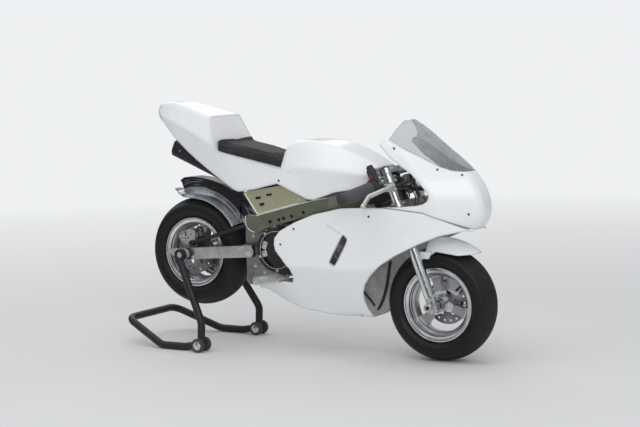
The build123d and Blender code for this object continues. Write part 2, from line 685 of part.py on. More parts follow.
put(bracket.solids().sort_by(SortBy.VOLUME)[-1], "fairing_bracket")

# Rear mudguard: an arched blade with a pointed tail, a channel above it and a strap to the frame
HUGGER_CROWN = REAR_TYRE_RADIUS + 18
HUGGER_SIDE = REAR_TYRE_RADIUS
HUGGER_HALF = 50.0
HUGGER_WALL = 2.5
HUGGER_START = 30.0
HUGGER_TURN = 57.0
HUGGER_TAIL = 88.0


def hugger_section(angle):
    """Cross-section of the blade at an angle round the rear axle."""
    with BuildSketch(Plane(origin=REAR_AXLE).rotated((0, -angle, 0))) as section:
        with BuildLine():
            ThreePointArc((HUGGER_SIDE, HUGGER_HALF), (HUGGER_CROWN, 0), (HUGGER_SIDE, -HUGGER_HALF))
            Line((HUGGER_SIDE, HUGGER_HALF), (HUGGER_SIDE, HUGGER_HALF - HUGGER_WALL))
            ThreePointArc(
                (HUGGER_SIDE, HUGGER_HALF - HUGGER_WALL), (HUGGER_CROWN - HUGGER_WALL, 0),
                (HUGGER_SIDE, -HUGGER_HALF + HUGGER_WALL),
            )
            Line((HUGGER_SIDE, -HUGGER_HALF), (HUGGER_SIDE, -HUGGER_HALF + HUGGER_WALL))
        make_face()
    return section.sketch


blade_turn = revolve(hugger_section(HUGGER_START), Axis(REAR_AXLE, (0, -1, 0)), HUGGER_TURN)
tail_angle = radians(HUGGER_START + HUGGER_TURN)
tail_way = Vector(-sin(tail_angle), 0, cos(tail_angle))
blade_tail = extrude(hugger_section(HUGGER_START + HUGGER_TURN), HUGGER_TAIL, tail_way)
with BuildPart() as blade_plan:
    with BuildSketch(Plane.XY.offset(250)):
        with BuildLine():
            Polyline(
                (-150, 60), (-346, 60), (-346, 51), (-374, 38), (-404, 13), (-404, -13), (-374, -38), (-346, -51),
                (-346, -60), (-150, -60), close=True,
            )
        make_face()
    extrude(amount=250)
CHANNEL_TOP = [
    (-379, 436), (-366, 445), (-340, 447.5), (-304, 444), (-275, 439), (-244, 429), (-213, 413), (-189, 388),
    (-174, 367),
]
CHANNEL_HALF = 24.0
CHANNEL_DEPTH = 15.0
channel_low = [(x - 3, z - CHANNEL_DEPTH) for x, z in reversed(CHANNEL_TOP[1:-1])]
channel = outline_block(CHANNEL_TOP + channel_low, -CHANNEL_HALF, CHANNEL_HALF)
hollow_top = [(x - 1.5, z - HUGGER_WALL) for x, z in CHANNEL_TOP[1:-1]]
hollow_low = [(x - 6, z - CHANNEL_DEPTH - 12) for x, z in reversed(CHANNEL_TOP[1:-1])]
channel -= outline_block(hollow_top + hollow_low, -CHANNEL_HALF + HUGGER_WALL, CHANNEL_HALF - HUGGER_WALL)
tail_web = outline_block([(-376, 436), (-352, 442), (-352, 409), (-368, 411)], -22, 22)
strap = outline_block([(-192, 380), (-174, 367), (-131, 343), (-131, 331), (-178, 322), (-190, 334)], -18, 18)
strap -= rod((CROSS_TUBE[0], -60, CROSS_TUBE[1]), (CROSS_TUBE[0], 60, CROSS_TUBE[1]), CROSS_TUBE_RADIUS + 0.05)
rear_mudguard = ((blade_turn + blade_tail) & blade_plan.part) + channel + tail_web + strap
put(rear_mudguard.solids().sort_by(SortBy.VOLUME)[-1], "rear_mudguard")

# Footpegs: swept back a little, each on its bracket
PEG_ROOT = Vector(-33, -PLATE_OUTER, 199)
PEG_TIP = Vector(-66, -148, 196)
PEG_RADIUS = 10.5
peg_side = outline_block([(-200, 0), (-200, 400), (200, 400), (200, 0)], -200, -PLATE_OUTER)
peg_right = rod(PEG_ROOT * 2 - PEG_TIP, PEG_TIP, PEG_RADIUS) & peg_side
put(both_sides(peg_right), "footpegs")

# Brake calipers: a block with a slot over the disc, on a bracket from the axle or the fork
CALIPER_LONG = 44.0
CALIPER_HIGH = 30.0
CALIPER_SLOT = 3.0


def make_caliper(axle, angle, reach, disc_low, disc_high, block_low, block_high):
    """Caliper body at an angle and a distance from the axle, slotted for its disc."""
    spot = axle + Vector(cos(radians(angle)) * reach, 0, sin(radians(angle)) * reach)
    high = Plane(
        origin=spot + Vector(0, block_high, 0),
        x_dir=(sin(radians(angle)), 0, -cos(radians(angle))), z_dir=(0, -1, 0),
    )
    with BuildPart() as caliper:
        with BuildSketch(high):
            RectangleRounded(CALIPER_LONG, CALIPER_HIGH, 7)
        extrude(amount=block_high - block_low)
        with BuildSketch(across(axle + Vector(0, disc_high + CALIPER_SLOT, 0))):
            Circle(DISC_RADIUS + CALIPER_SLOT)
        extrude(amount=disc_high - disc_low + 2 * CALIPER_SLOT, mode=Mode.SUBTRACT)
    return caliper.part


rear_caliper = make_caliper(REAR_AXLE, 108, 46, REAR_DISC_Y - DISC_THICKNESS, REAR_DISC_Y, -54, -15)
with BuildPart() as rear_bracket:
    with BuildSketch(across(REAR_AXLE + Vector(0, -54, 0))):
        with Locations((0, 0), (-24, 44), (2, 50)):
            Circle(13)
        make_hull()
        Circle(12, mode=Mode.SUBTRACT)
    extrude(amount=5)
rear_caliper_all = rear_caliper + rear_bracket.part
put(rear_caliper_all, "rear_brake_caliper")
ROD_REAR = Vector(-317, -64.5, 274)
ROD_FRONT = Vector(-146, -64.5, 326)
torque_rod = rod(ROD_REAR, ROD_FRONT, 5)
torque_rod += rod(ROD_REAR - Vector(0, 6, 0), ROD_REAR + Vector(0, 5.4, 0), 8)
torque_rod += rod(ROD_FRONT - Vector(0, 5.7, 0), ROD_FRONT + Vector(0, 7.45, 0), 7)
put(torque_rod, "torque_rod")

# Silencer: black rounded can under the tail, and the pipe that feeds it
SILENCER_REAR = Vector(-386, -18, 529)
SILENCER_AXIS = Vector(-cos(radians(22.7)), 0, sin(radians(22.7)))
SILENCER_LENGTH = 186.0
SILENCER_WIDTH = 62.0
SILENCER_HEIGHT = 47.0
SILENCER_FRONT = SILENCER_REAR - SILENCER_AXIS * SILENCER_LENGTH
with BuildPart() as silencer:
    with BuildSketch(Plane(origin=SILENCER_FRONT, x_dir=(0, 1, 0), z_dir=SILENCER_AXIS)):
        RectangleRounded(SILENCER_WIDTH, SILENCER_HEIGHT, 13)
    extrude(amount=SILENCER_LENGTH)
    end_edges = silencer.faces().sort_by(Axis((0, 0, 0), (SILENCER_AXIS.X, 0, SILENCER_AXIS.Z)))[-1].edges()
    chamfer(end_edges, 7)
    with BuildSketch(Plane(origin=SILENCER_REAR, x_dir=(0, 1, 0), z_dir=SILENCER_AXIS)):
        Circle(11)
    extrude(amount=-30, mode=Mode.SUBTRACT)
put(silencer.part, "silencer")
exhaust_pipe = tube_along(
    [
        SILENCER_FRONT - SILENCER_AXIS * 0.1, SILENCER_FRONT - SILENCER_AXIS * 34, Vector(-118, -18, 378),
        Vector(-70, -18, 352), Vector(-70, -18, 323.3),
    ],
    [30, 30, 15], 12,
)
put(exhaust_pipe, "exhaust_pipe")

# Steering: stem, two yokes and the fork legs
STEER_PLANE = Plane(origin=STEER_FOOT, x_dir=FORK_BACK * -1, z_dir=FORK_UP)


def make_yoke(at, ear):
    """Yoke clamped round both legs and the stem, at a distance up the fork."""
    with BuildPart() as yoke:
        with BuildSketch(STEER_PLANE.offset(at - YOKE_THICKNESS / 2)):
            with Locations((0, 0)):
                Circle(20)
            with Locations((FORK_OFFSET, FORK_HALF_SPACING), (FORK_OFFSET, -FORK_HALF_SPACING)):
                Circle(ear)
            make_hull()
            Circle(STEM_RADIUS, mode=Mode.SUBTRACT)
            with Locations((FORK_OFFSET, FORK_HALF_SPACING), (FORK_OFFSET, -FORK_HALF_SPACING)):
                Circle(FORK_TUBE_RADIUS, mode=Mode.SUBTRACT)
        extrude(amount=YOKE_THICKNESS)
    return yoke.part


put(make_yoke(BOTTOM_YOKE_AT, 19), "bottom_yoke")
put(make_yoke(TOP_YOKE_AT, 18), "top_yoke")
stem_low = STEER_FOOT + FORK_UP * (BOTTOM_YOKE_AT - YOKE_THICKNESS / 2 - 3)
stem_high = STEER_FOOT + FORK_UP * (TOP_YOKE_AT + YOKE_THICKNESS / 2 + STEM_STAND)
put(rod(stem_low, stem_high, STEM_RADIUS), "steering_stem")

leg_foot = FORK_FOOT + Vector(0, -FORK_HALF_SPACING, 0)
front_axle_hole = rod(FRONT_AXLE + Vector(0, -120, 0), FRONT_AXLE + Vector(0, 120, 0), AXLE_RADIUS + 0.02)
slider = rod(leg_foot - FORK_UP * 16, leg_foot + FORK_UP * SLIDER_LENGTH, FORK_SLIDER_RADIUS) - front_axle_hole
fork_tube = rod(leg_foot + FORK_UP * SLIDER_LENGTH, leg_foot + FORK_UP * FORK_LENGTH, FORK_TUBE_RADIUS)
fork_leg = slider + fork_tube
put(fork_leg, "fork_leg_right")
put(mirrored(fork_leg), "fork_leg_left")

with BuildPart() as front_axle:
    with BuildSketch(across(FRONT_AXLE + Vector(0, FORK_HALF_SPACING + 20, 0))):
        Circle(AXLE_RADIUS)
    extrude(amount=2 * FORK_HALF_SPACING + 40)
    for y_start, y_end in (
        (FRONT_HUB_RIGHT - SIDE_GAP, -FORK_HALF_SPACING + FORK_SLIDER_RADIUS + 0.2),
        (FORK_HALF_SPACING - FORK_SLIDER_RADIUS - 0.2, FRONT_HUB_LEFT + DISC_THICKNESS + SIDE_GAP),
        (FORK_HALF_SPACING + 20, FORK_HALF_SPACING + FORK_SLIDER_RADIUS + 0.2),
        (-FORK_HALF_SPACING - FORK_SLIDER_RADIUS - 0.2, -FORK_HALF_SPACING - 20),
    ):
        with BuildSketch(across(FRONT_AXLE + Vector(0, y_start, 0))):
            Circle(10.5)
        extrude(amount=y_start - y_end)
    with BuildSketch(across(FRONT_AXLE + Vector(0, FORK_HALF_SPACING + 20, 0))):
        Circle(FRONT_AXLE_BORE)
    extrude(amount=2 * FORK_HALF_SPACING + 40, mode=Mode.SUBTRACT)
put(front_axle.part, "front_axle")

front_caliper = make_caliper(
    FRONT_AXLE, 62, 46, FRONT_DISC_Y, FRONT_DISC_Y + DISC_THICKNESS, FRONT_DISC_Y - 12, FRONT_DISC_Y + 27.5
)
with BuildPart() as front_bracket:
    with BuildSketch(side_plane(FORK_HALF_SPACING)):
        with Locations((402, 182), (382, 184)):
            Circle(10)
        make_hull()
    extrude(amount=FORK_HALF_SPACING - 48)
left_foot = FORK_FOOT + Vector(0, FORK_HALF_SPACING, 0)
front_caliper += front_bracket.part - rod(left_foot, left_foot + FORK_UP * FORK_LENGTH, FORK_SLIDER_RADIUS + 0.3)
front_caliper &= outline_block([(300, 0), (300, 300), (500, 300), (500, 0)], 0, FORK_HALF_SPACING - 8)
put(front_caliper.solids().sort_by(SortBy.VOLUME)[-1], "front_brake_caliper")

# Clip-on bars, grips, levers
BAR_DIRECTION = Vector(-42, -95, -26).normalized()
BAR_AT = FORK_LENGTH - 32
BAR_BEHIND = 22.0
bar_start = leg_foot + FORK_UP * BAR_AT + FORK_BACK * BAR_BEHIND
GRIP_START = 28.0
CLAMP_HEIGHT = 16.0
with BuildPart() as clip_on:
    with BuildSketch(Plane(origin=leg_foot + FORK_UP * (BAR_AT - CLAMP_HEIGHT / 2), z_dir=FORK_UP)):
        Circle(FORK_TUBE_RADIUS + 7)
    extrude(amount=CLAMP_HEIGHT)
    with BuildSketch(Plane(origin=bar_start - BAR_DIRECTION * 10, z_dir=BAR_DIRECTION)):
        Circle(BAR_RADIUS)
    extrude(amount=10 + GRIP_START + GRIP_LENGTH - 6)
    with BuildSketch(Plane(origin=leg_foot + FORK_UP * (BAR_AT - 40), z_dir=FORK_UP)):
        Circle(FORK_TUBE_RADIUS)
    extrude(amount=80, mode=Mode.SUBTRACT)
put(both_sides(clip_on.part), "clip_ons")

with BuildPart() as grip:
    with BuildSketch(Plane(origin=bar_start + BAR_DIRECTION * GRIP_START, z_dir=BAR_DIRECTION)):
        Circle(GRIP_RADIUS)
    extrude(amount=GRIP_LENGTH)
    with BuildSketch(Plane(origin=bar_start + BAR_DIRECTION * GRIP_START, z_dir=BAR_DIRECTION)):
        Circle(GRIP_RADIUS + 4)
    extrude(amount=4)
    with BuildSketch(Plane(origin=bar_start + BAR_DIRECTION * GRIP_START, z_dir=BAR_DIRECTION)):
        Circle(BAR_RADIUS)
    extrude(amount=GRIP_LENGTH - 6, mode=Mode.SUBTRACT)
put(both_sides(grip.part), "grips")

PERCH_AT = 10.0
LEVER_PIVOT = Vector(300, -84, 438)
LEVER_ROUTE = [Vector(300, -84, 438), Vector(286, -112, 430), Vector(264, -146, 417), Vector(266, -180, 396)]
perch_spot = bar_start + BAR_DIRECTION * PERCH_AT
bar_hole = rod(bar_start - BAR_DIRECTION * 30, bar_start + BAR_DIRECTION * 90, BAR_RADIUS)
perch = rod(perch_spot - BAR_DIRECTION * 5.5, perch_spot + BAR_DIRECTION * 5.5, BAR_RADIUS + 4)
perch += rod(perch_spot + (LEVER_PIVOT - perch_spot).normalized() * 11, LEVER_PIVOT, 6)
perch -= bar_hole + rod(leg_foot, leg_foot + FORK_UP * FORK_LENGTH, FORK_TUBE_RADIUS + 7.2)
lever = tube_along(LEVER_ROUTE, [20, 20], 5.5)
lever += rod(LEVER_ROUTE[0], LEVER_ROUTE[0] + (LEVER_ROUTE[1] - LEVER_ROUTE[0]) * 0.7, 8)
lever += Pos(LEVER_ROUTE[-1]) * Sphere(7)
lever -= rod(perch_spot, LEVER_PIVOT + (LEVER_PIVOT - perch_spot).normalized() * 0.3, 6.3)
put(both_sides(perch.solids().sort_by(SortBy.VOLUME)[-1]), "lever_perches")
put(both_sides(lever.solids().sort_by(SortBy.VOLUME)[-1]), "brake_levers")

# Kill switch on the right bar, between the lever's perch and the grip
SWITCH_START = 16.0
SWITCH_WIDTH = 11.5
SWITCH_OUTLINE = [
    (-12.5, -12), (12.5, -12), (12.5, 9), (18, 13), (19.5, 40), (15, 44), (15, 50), (1, 50), (1, 44), (-4, 40),
    (-5, 12), (-12.5, 8),
]
switch_plane = Plane(origin=bar_start + BAR_DIRECTION * SWITCH_START, x_dir=FORK_BACK * -1, z_dir=BAR_DIRECTION)
with BuildPart() as kill_switch:
    with BuildSketch(switch_plane):
        with BuildLine():
            Polyline(*SWITCH_OUTLINE, close=True)
        make_face()
    extrude(amount=SWITCH_WIDTH)
kill_switch_part = kill_switch.part - bar_hole
put(kill_switch_part, "kill_switch")

# Front mudguard: a blade over the tyre that ends in a point
GUARD_CROWN = FRONT_TYRE_RADIUS + 24
GUARD_HALF = 52.5
GUARD_WALL = 2.5
with BuildPart() as guard_turn:
    with BuildSketch(Plane(origin=FRONT_AXLE).rotated((0, -34, 0))) as guard_section:
        with BuildLine():
            ThreePointArc((124, GUARD_HALF), (GUARD_CROWN, 0), (124, -GUARD_HALF))
            Line((124, GUARD_HALF), (124, GUARD_HALF - GUARD_WALL))
            ThreePointArc(
                (124, GUARD_HALF - GUARD_WALL), (GUARD_CROWN - GUARD_WALL, 0), (124, -GUARD_HALF + GUARD_WALL)
            )
            Line((124, -GUARD_HALF), (124, -GUARD_HALF + GUARD_WALL))
        make_face()
    revolve(axis=Axis(FRONT_AXLE, (0, -1, 0)), revolution_arc=72)
GUARD_SIDE = [
    (366, 268), (372, 251), (380, 266), (392, 276), (430, 271), (450, 268), (484, 270), (520, 284), (520, 360),
    (360, 360),
]
with BuildPart() as guard_plan:
    with BuildSketch(Plane.XY.offset(230)):
        with BuildLine():
            Polyline((360, 56), (440, 56), (474, 36), (494, 8), (494, -8), (474, -36), (440, -56), (360, -56), close=True)
        make_face()
    extrude(amount=140)
front_mudguard = guard_turn.part & outline_block(GUARD_SIDE, -80, 80) & guard_plan.part
guard_tabs = outline_block([(348, 258), (376, 258), (384, 276), (342, 276)], -FORK_HALF_SPACING, -GUARD_HALF + 2)
guard_tabs += mirrored(guard_tabs)
for side in (1, -1):
    foot = FORK_FOOT + Vector(0, side * FORK_HALF_SPACING, 0)
    guard_tabs -= rod(foot, foot + FORK_UP * FORK_LENGTH, FORK_SLIDER_RADIUS + 0.3)
guard_tabs &= outline_block([(300, 200), (400, 200), (400, 300), (300, 300)], -FORK_HALF_SPACING + 12, FORK_HALF_SPACING - 12)
front_mudguard += guard_tabs
put(front_mudguard.solids().sort_by(SortBy.VOLUME)[-1], "front_mudguard")

# Paddock stand: base loop with a raised handle, two uprights and sockets for the axle's ends
FOOT_Z = ROLLER_RADIUS
HANDLE_X = STAND_REAR_X + STAND_TUBE
SOCKET_Y = STAND_HOOK_HALF + 10
base_route = [(STAND_FOOT_X, -STAND_HALF, FOOT_Z), (-300, -STAND_HALF, STAND_TUBE), (-374, -STAND_HALF, STAND_TUBE),
              (HANDLE_X, -HANDLE_HALF, HANDLE_Z)]
base_route += [(x, -y, z) for x, y, z in reversed(base_route)]
base_loop = tube_along([Vector(*point) for point in base_route], [60, 60, 34, 34, 60, 60], STAND_TUBE)
upright = tube_along(
    [Vector(STAND_FOOT_X, -STAND_HALF, FOOT_Z), Vector(-244, -STAND_HALF, STAND_BEND_Z),
     Vector(REAR_AXLE_X - 6, -SOCKET_Y - 1, REAR_AXLE_Z - 8)],
    [40], STAND_TUBE,
)
socket = rod((REAR_AXLE_X, -SOCKET_Y + 6, REAR_AXLE_Z), (REAR_AXLE_X, -SOCKET_Y - 8, REAR_AXLE_Z), 15)
axle_end = rod((REAR_AXLE_X, -150, REAR_AXLE_Z), (REAR_AXLE_X, -50, REAR_AXLE_Z), AXLE_RADIUS + 0.1)
foot_pin = rod((STAND_FOOT_X, -STAND_HALF + 18, FOOT_Z), (STAND_FOOT_X, -STAND_HALF - 18, FOOT_Z), 5)
side_right = (upright + socket + foot_pin) - axle_end
stand_frame = base_loop + side_right + mirrored(side_right)
put(stand_frame, "stand_frame")


def make_rollers(side):
    """The two discs of one foot, one each side of the tube, on the given side of the bike."""
    with BuildPart() as rollers:
        for y in (STAND_TUBE + 0.6, -STAND_TUBE - 0.6 - ROLLER_WIDTH):
            low = side * STAND_HALF + y
            with BuildSketch(across(Vector(STAND_FOOT_X, low + ROLLER_WIDTH, FOOT_Z))):
                Circle(ROLLER_RADIUS)
                Circle(5.1, mode=Mode.SUBTRACT)
            extrude(amount=ROLLER_WIDTH)
    return rollers.part


put(make_rollers(-1) + make_rollers(1), "stand_rollers")
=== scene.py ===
import json
import logging
from dataclasses import dataclass, field
from enum import Enum
from functools import cached_property, lru_cache
from math import acos, cos, exp, pi, radians, sin
from typing import Iterable, Optional, Sequence, Union

import bmesh
import bpy
from mathutils import Matrix, Vector
from mathutils.bvhtree import BVHTree


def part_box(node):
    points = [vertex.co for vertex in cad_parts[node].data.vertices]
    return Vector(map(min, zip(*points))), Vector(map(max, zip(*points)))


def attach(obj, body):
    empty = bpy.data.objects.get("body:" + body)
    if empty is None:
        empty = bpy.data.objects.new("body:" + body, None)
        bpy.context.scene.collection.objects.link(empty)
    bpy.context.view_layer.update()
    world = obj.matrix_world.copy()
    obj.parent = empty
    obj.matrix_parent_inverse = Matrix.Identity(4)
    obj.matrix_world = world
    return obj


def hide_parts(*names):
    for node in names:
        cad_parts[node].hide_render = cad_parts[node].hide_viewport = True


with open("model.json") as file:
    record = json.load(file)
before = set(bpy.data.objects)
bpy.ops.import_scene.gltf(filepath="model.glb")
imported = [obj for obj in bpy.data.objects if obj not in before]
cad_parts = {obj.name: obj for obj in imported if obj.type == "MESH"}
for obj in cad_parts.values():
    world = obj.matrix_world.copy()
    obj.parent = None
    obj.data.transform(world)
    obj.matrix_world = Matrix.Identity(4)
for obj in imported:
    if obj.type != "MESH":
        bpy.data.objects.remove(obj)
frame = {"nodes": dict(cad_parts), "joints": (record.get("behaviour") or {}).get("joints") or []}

log = logging.getLogger("pocket_bike")

# Details are placed and sized in millimetres. Materials, cloth and the stage are in metres

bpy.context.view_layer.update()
MM = 0.001
JOINTS = {joint["name"]: joint for joint in frame["joints"]}
SIDES = (-1.0, 1.0)
ACROSS = Vector((0, 1, 0))
FRONT_AXLE = Vector(JOINTS["front_wheel_spin"]["pos_m"]) / MM
REAR_AXLE = Vector(JOINTS["rear_wheel_spin"]["pos_m"]) / MM
STEER_FOOT = Vector(JOINTS["steering_turn"]["pos_m"]) / MM
FORK_UP = Vector(JOINTS["steering_turn"]["axis"]).normalized()
FORK_BACK = FORK_UP.cross(ACROSS).normalized()
SHARP_ANGLE = radians(35)
OUTSIDE = 400.0
RING_STEPS = 40
EDGE_SAMPLES = 6

Colour = tuple[float, float, float]
Place = tuple[float, float, float]
Point = tuple[float, float]
Drum = tuple[float, float, float, int, float]
Socket = bpy.types.NodeSocket


class Body(str, Enum):
    """The rigid bodies of the bike."""

    CHASSIS = "chassis"
    STEERING = "steering"
    FRONT_WHEEL = "front_wheel"
    REAR_WHEEL = "rear_wheel"


# Material building

class Graph:
    """A material's or world's node tree, with short calls for the nodes that are used often."""

    def __init__(self, owner: Union[bpy.types.Material, bpy.types.World]) -> None:
        """Starts from the owner's own shader.

        Args:
            owner: A new material or world.
        """
        owner.use_nodes = True
        self.owner = owner
        self.tree = owner.node_tree
        self.shader = next(node for node in self.tree.nodes if "OUTPUT" not in node.type)

    @cached_property
    def coordinates(self) -> Socket:
        """The object's own coordinates."""
        return self.node("TexCoord", "Object")

    def give(self, socket: Socket, value: object) -> None:
        """Gives an input a value or another node's output.

        Args:
            socket: The input.
            value: A number, a vector, a colour or an output.
        """
        if isinstance(value, Socket):
            self.tree.links.new(value, socket)
        else:
            socket.default_value = (*value, 1.0) if socket.type == "RGBA" else value

    def node(
        self, kind: str, output: Union[str, int], inputs: Optional[dict] = None, **settings: object,
    ) -> Socket:
        """Adds a node.

        Args:
            kind: Its type, without Blender's prefix.
            output: Name or number of the output that is used.
            inputs: What its inputs are given, by name or number.
            **settings: The node's own settings.

        Returns:
            The output.
        """
        made = self.tree.nodes.new(f"ShaderNode{kind}")
        for name, value in settings.items():
            setattr(made, name, value)
        for key, value in (inputs or {}).items():
            self.give(made.inputs[key], value)
        return made.outputs[output]

    def feed(self, **values: object) -> None:
        """Feeds the shader's inputs.

        Args:
            **values: Values or outputs by the input's name, with underscores for spaces.
        """
        for name, value in values.items():
            self.give(self.shader.inputs[name.replace("_", " ")], value)

    def mapped(self, scale: Sequence[float], centre: Sequence[float] = (0, 0, 0)) -> Socket:
        """Stretches the coordinates.

        Args:
            scale: Scale along each axis.
            centre: The point that stays in place, and becomes zero.

        Returns:
            The mapped coordinates.
        """
        centred = self.node("VectorMath", 0, {0: self.coordinates, 1: centre}, operation="SUBTRACT")
        return self.node("Mapping", 0, {"Vector": centred, "Scale": scale})

    def noise(
        self, scale: float, detail: float = 3.0, roughness: float = 0.5, vector: Optional[Socket] = None,
    ) -> Socket:
        """Noise over the object.

        Args:
            scale: Waves per metre.
            detail: Octaves.
            roughness: Strength of the finer octaves.
            vector: Coordinates, or None for the object's own.

        Returns:
            The noise, from 0 to 1.
        """
        inputs = {"Scale": scale, "Detail": detail, "Roughness": roughness}
        return self.node("TexNoise", 0, {**inputs, "Vector": vector or self.coordinates})

    def ranged(
        self, value: Socket, low: float, high: float, out_low: float = 0.0, out_high: float = 1.0,
    ) -> Socket:
        """Maps a value from one range to another, with its ends held.

        Args:
            value: The value.
            low: Start of its range.
            high: End of its range.
            out_low: Result at the start.
            out_high: Result at the end.

        Returns:
            The mapped value.
        """
        inputs = {"From Min": low, "From Max": high, "To Min": out_low, "To Max": out_high, "Value": value}
        return self.node("MapRange", 0, inputs)

    def maths(self, operation: str, first: Socket, second: Union[Socket, float] = 0.0) -> Socket:
        """One operation on a value and a number or another value."""
        return self.node("Math", 0, {0: first, 1: second}, operation=operation)

    def times(self, first: Socket, second: Union[Socket, float]) -> Socket:
        """Product of a value and a number or another value."""
        return self.maths("MULTIPLY", first, second)

    def plus(self, first: Socket, second: Union[Socket, float]) -> Socket:
        """Sum of a value and a number or another value."""
        return self.maths("ADD", first, second)

    def part(self, axis: str) -> Socket:
        """One of the object's coordinates."""
        return self.node("SeparateXYZ", axis, {0: self.coordinates})

    def length(self, vector: Socket) -> Socket:
        """Length of a vector."""
        return self.node("VectorMath", "Value", {0: vector}, operation="LENGTH")

    def off_axle(self, centre: Sequence[float]) -> Socket:
        """Distance from an axle that runs across the bike."""
        return self.length(self.mapped((1, 0, 1), centre))

    def mixed(self, factor: Socket, first: object, second: object) -> Socket:
        """Mixes two colours, each a triple or an output, by the share of the second."""
        return self.node("Mix", 2, {"Factor": factor, 6: first, 7: second}, data_type="RGBA")

    def seen(self) -> Socket:
        """1 for rays from the camera, straight or through the screen, and 0 for others."""
        straight, through = (self.node("LightPath", f"Is {kind} Ray") for kind in ("Camera", "Transmission"))
        return self.maths("MAXIMUM", straight, through)

    def bump(self, height: Socket, distance: float, strength: float, edge: float = 0.0) -> None:
        """Raises the surface by a height pattern.

        Args:
            height: The pattern, from 0 to 1.
            distance: Its depth in metres.
            strength: How much of it shows.
            edge: Radius to which the moulding's edges look rounded.
        """
        inputs = {"Distance": distance, "Strength": strength, "Height": height}
        if edge:
            inputs["Normal"] = self.node("Bevel", 0, {"Radius": edge}, samples=EDGE_SAMPLES)
        self.feed(Normal=self.node("Bump", 0, inputs))


@dataclass(frozen=True)
class GlossShell:
    """Glossy moulded bodywork with fine dusty specks and a darker tone towards the bottom, a faint ripple,
    and perhaps a dull inner side with painted shade in one corner.
    """

    colour: Colour = (0.84, 0.85, 0.86)
    speck_and_low_tone: Colour = (0.6, 0.59, 0.56)
    inner_shade: Colour = (0.03, 0.03, 0.032)
    roughness: float = 0.26
    edge: float = 0.007
    inside: Optional[Colour] = None
    middle: Place = (0, 0, 0.3)
    spread: Place = (0, 1, 1)
    shaded_corner: Optional[Point] = None

    def paint(self, graph: Graph) -> None:
        """Fills a material.

        Args:
            graph: The material's graph.
        """
        cloud = graph.ranged(graph.noise(7.0, 4.0), 0.3, 0.75)
        # Fine dusty specks all over, and a darker tone towards the bottom of the shell.
        low = graph.ranged(graph.part("Z"), 0.2, 0.1, 0.0, 0.35)
        specks = graph.ranged(graph.noise(420.0, 2.0), 0.58, 0.72)
        darker_below = graph.times(low, graph.ranged(graph.noise(30.0, 5.0), 0.3, 0.8, 0.1, 0.7))
        tint = graph.mixed(cloud, self.colour, tuple(c * 0.965 for c in self.colour))
        skin = graph.mixed(graph.plus(darker_below, graph.times(specks, 0.07)), tint, self.speck_and_low_tone)
        polish = graph.ranged(cloud, 0, 1, self.roughness, self.roughness + 0.09)
        if self.inside:
            within = self.turned_in(graph)
            skin = graph.mixed(within, skin, self.inner_skin(graph))
            polish = graph.plus(polish, graph.times(within, 0.35))
        graph.feed(Coat_Weight=0.35, Coat_Roughness=0.12, IOR=1.48, Base_Color=skin, Roughness=polish)
        graph.bump(graph.noise(55.0, 2.0), 0.0004, 0.25, self.edge)

    def turned_in(self, graph: Graph) -> Socket:
        """Tells the inner side of the shell, which looks towards its middle, from the outer side.

        Args:
            graph: The material's graph.

        Returns:
            1 on the inner side, and 0 on the outer.
        """
        inputs = {0: graph.mapped(self.spread, self.middle), 1: graph.node("NewGeometry", "True Normal")}
        return graph.ranged(graph.node("VectorMath", "Value", inputs, operation="DOT_PRODUCT"), 0.004, -0.004)

    def inner_skin(self, graph: Graph) -> Socket:
        """Colour of the inner side.

        Args:
            graph: The material's graph.

        Returns:
            The mottled colour, with shade painted in behind and below the corner given, if there is one.
        """
        mottle = graph.ranged(graph.noise(60.0, 5.0, 0.7), 0.35, 0.7)
        inner = graph.mixed(mottle, self.inside, tuple(c * 1.5 for c in self.inside))
        if not self.shaded_corner:
            return inner
        # Painted shade: the inner side turns dark behind and below the corner, deep inside the shell.
        limits = zip("XZ", self.shaded_corner)
        behind, below = (graph.ranged(graph.part(axis), start, start - 0.03) for axis, start in limits)
        return graph.mixed(graph.times(below, behind), inner, self.inner_shade)


@dataclass(frozen=True)
class Metal:
    """Bare or plated metal with grain along one direction and uneven wear, and painted shade ahead of a given
    X if one is set.
    """

    colour: Colour
    worn: Colour
    roughness: float
    grain: tuple[float, float, float]
    depth: float = 0.00005
    shaded_from: Optional[float] = None

    def paint(self, graph: Graph) -> None:
        """Fills a material.

        Args:
            graph: The material's graph.
        """
        lines = graph.noise(1.0, 3.0, 0.6, graph.mapped(self.grain))
        patches = graph.ranged(graph.noise(24.0, 4.0), 0.35, 0.7)
        tint = graph.mixed(patches, self.colour, self.worn)
        # Painted shade: ahead of the given X the metal turns dark, where it sits in shade under the fairing.
        if self.shaded_from is not None:
            ahead = graph.ranged(graph.part("X"), self.shaded_from, self.shaded_from + 0.05, 0.0, 0.92)
            tint = graph.mixed(ahead, tint, (0.03, 0.03, 0.028))
        rough = graph.ranged(patches, 0, 1, self.roughness, self.roughness + 0.1)
        rough = graph.plus(graph.ranged(lines, 0.3, 0.7, -0.05, 0.07), rough)
        graph.feed(Metallic=1.0, Base_Color=tint, Roughness=rough)
        graph.bump(lines, self.depth, 0.6)


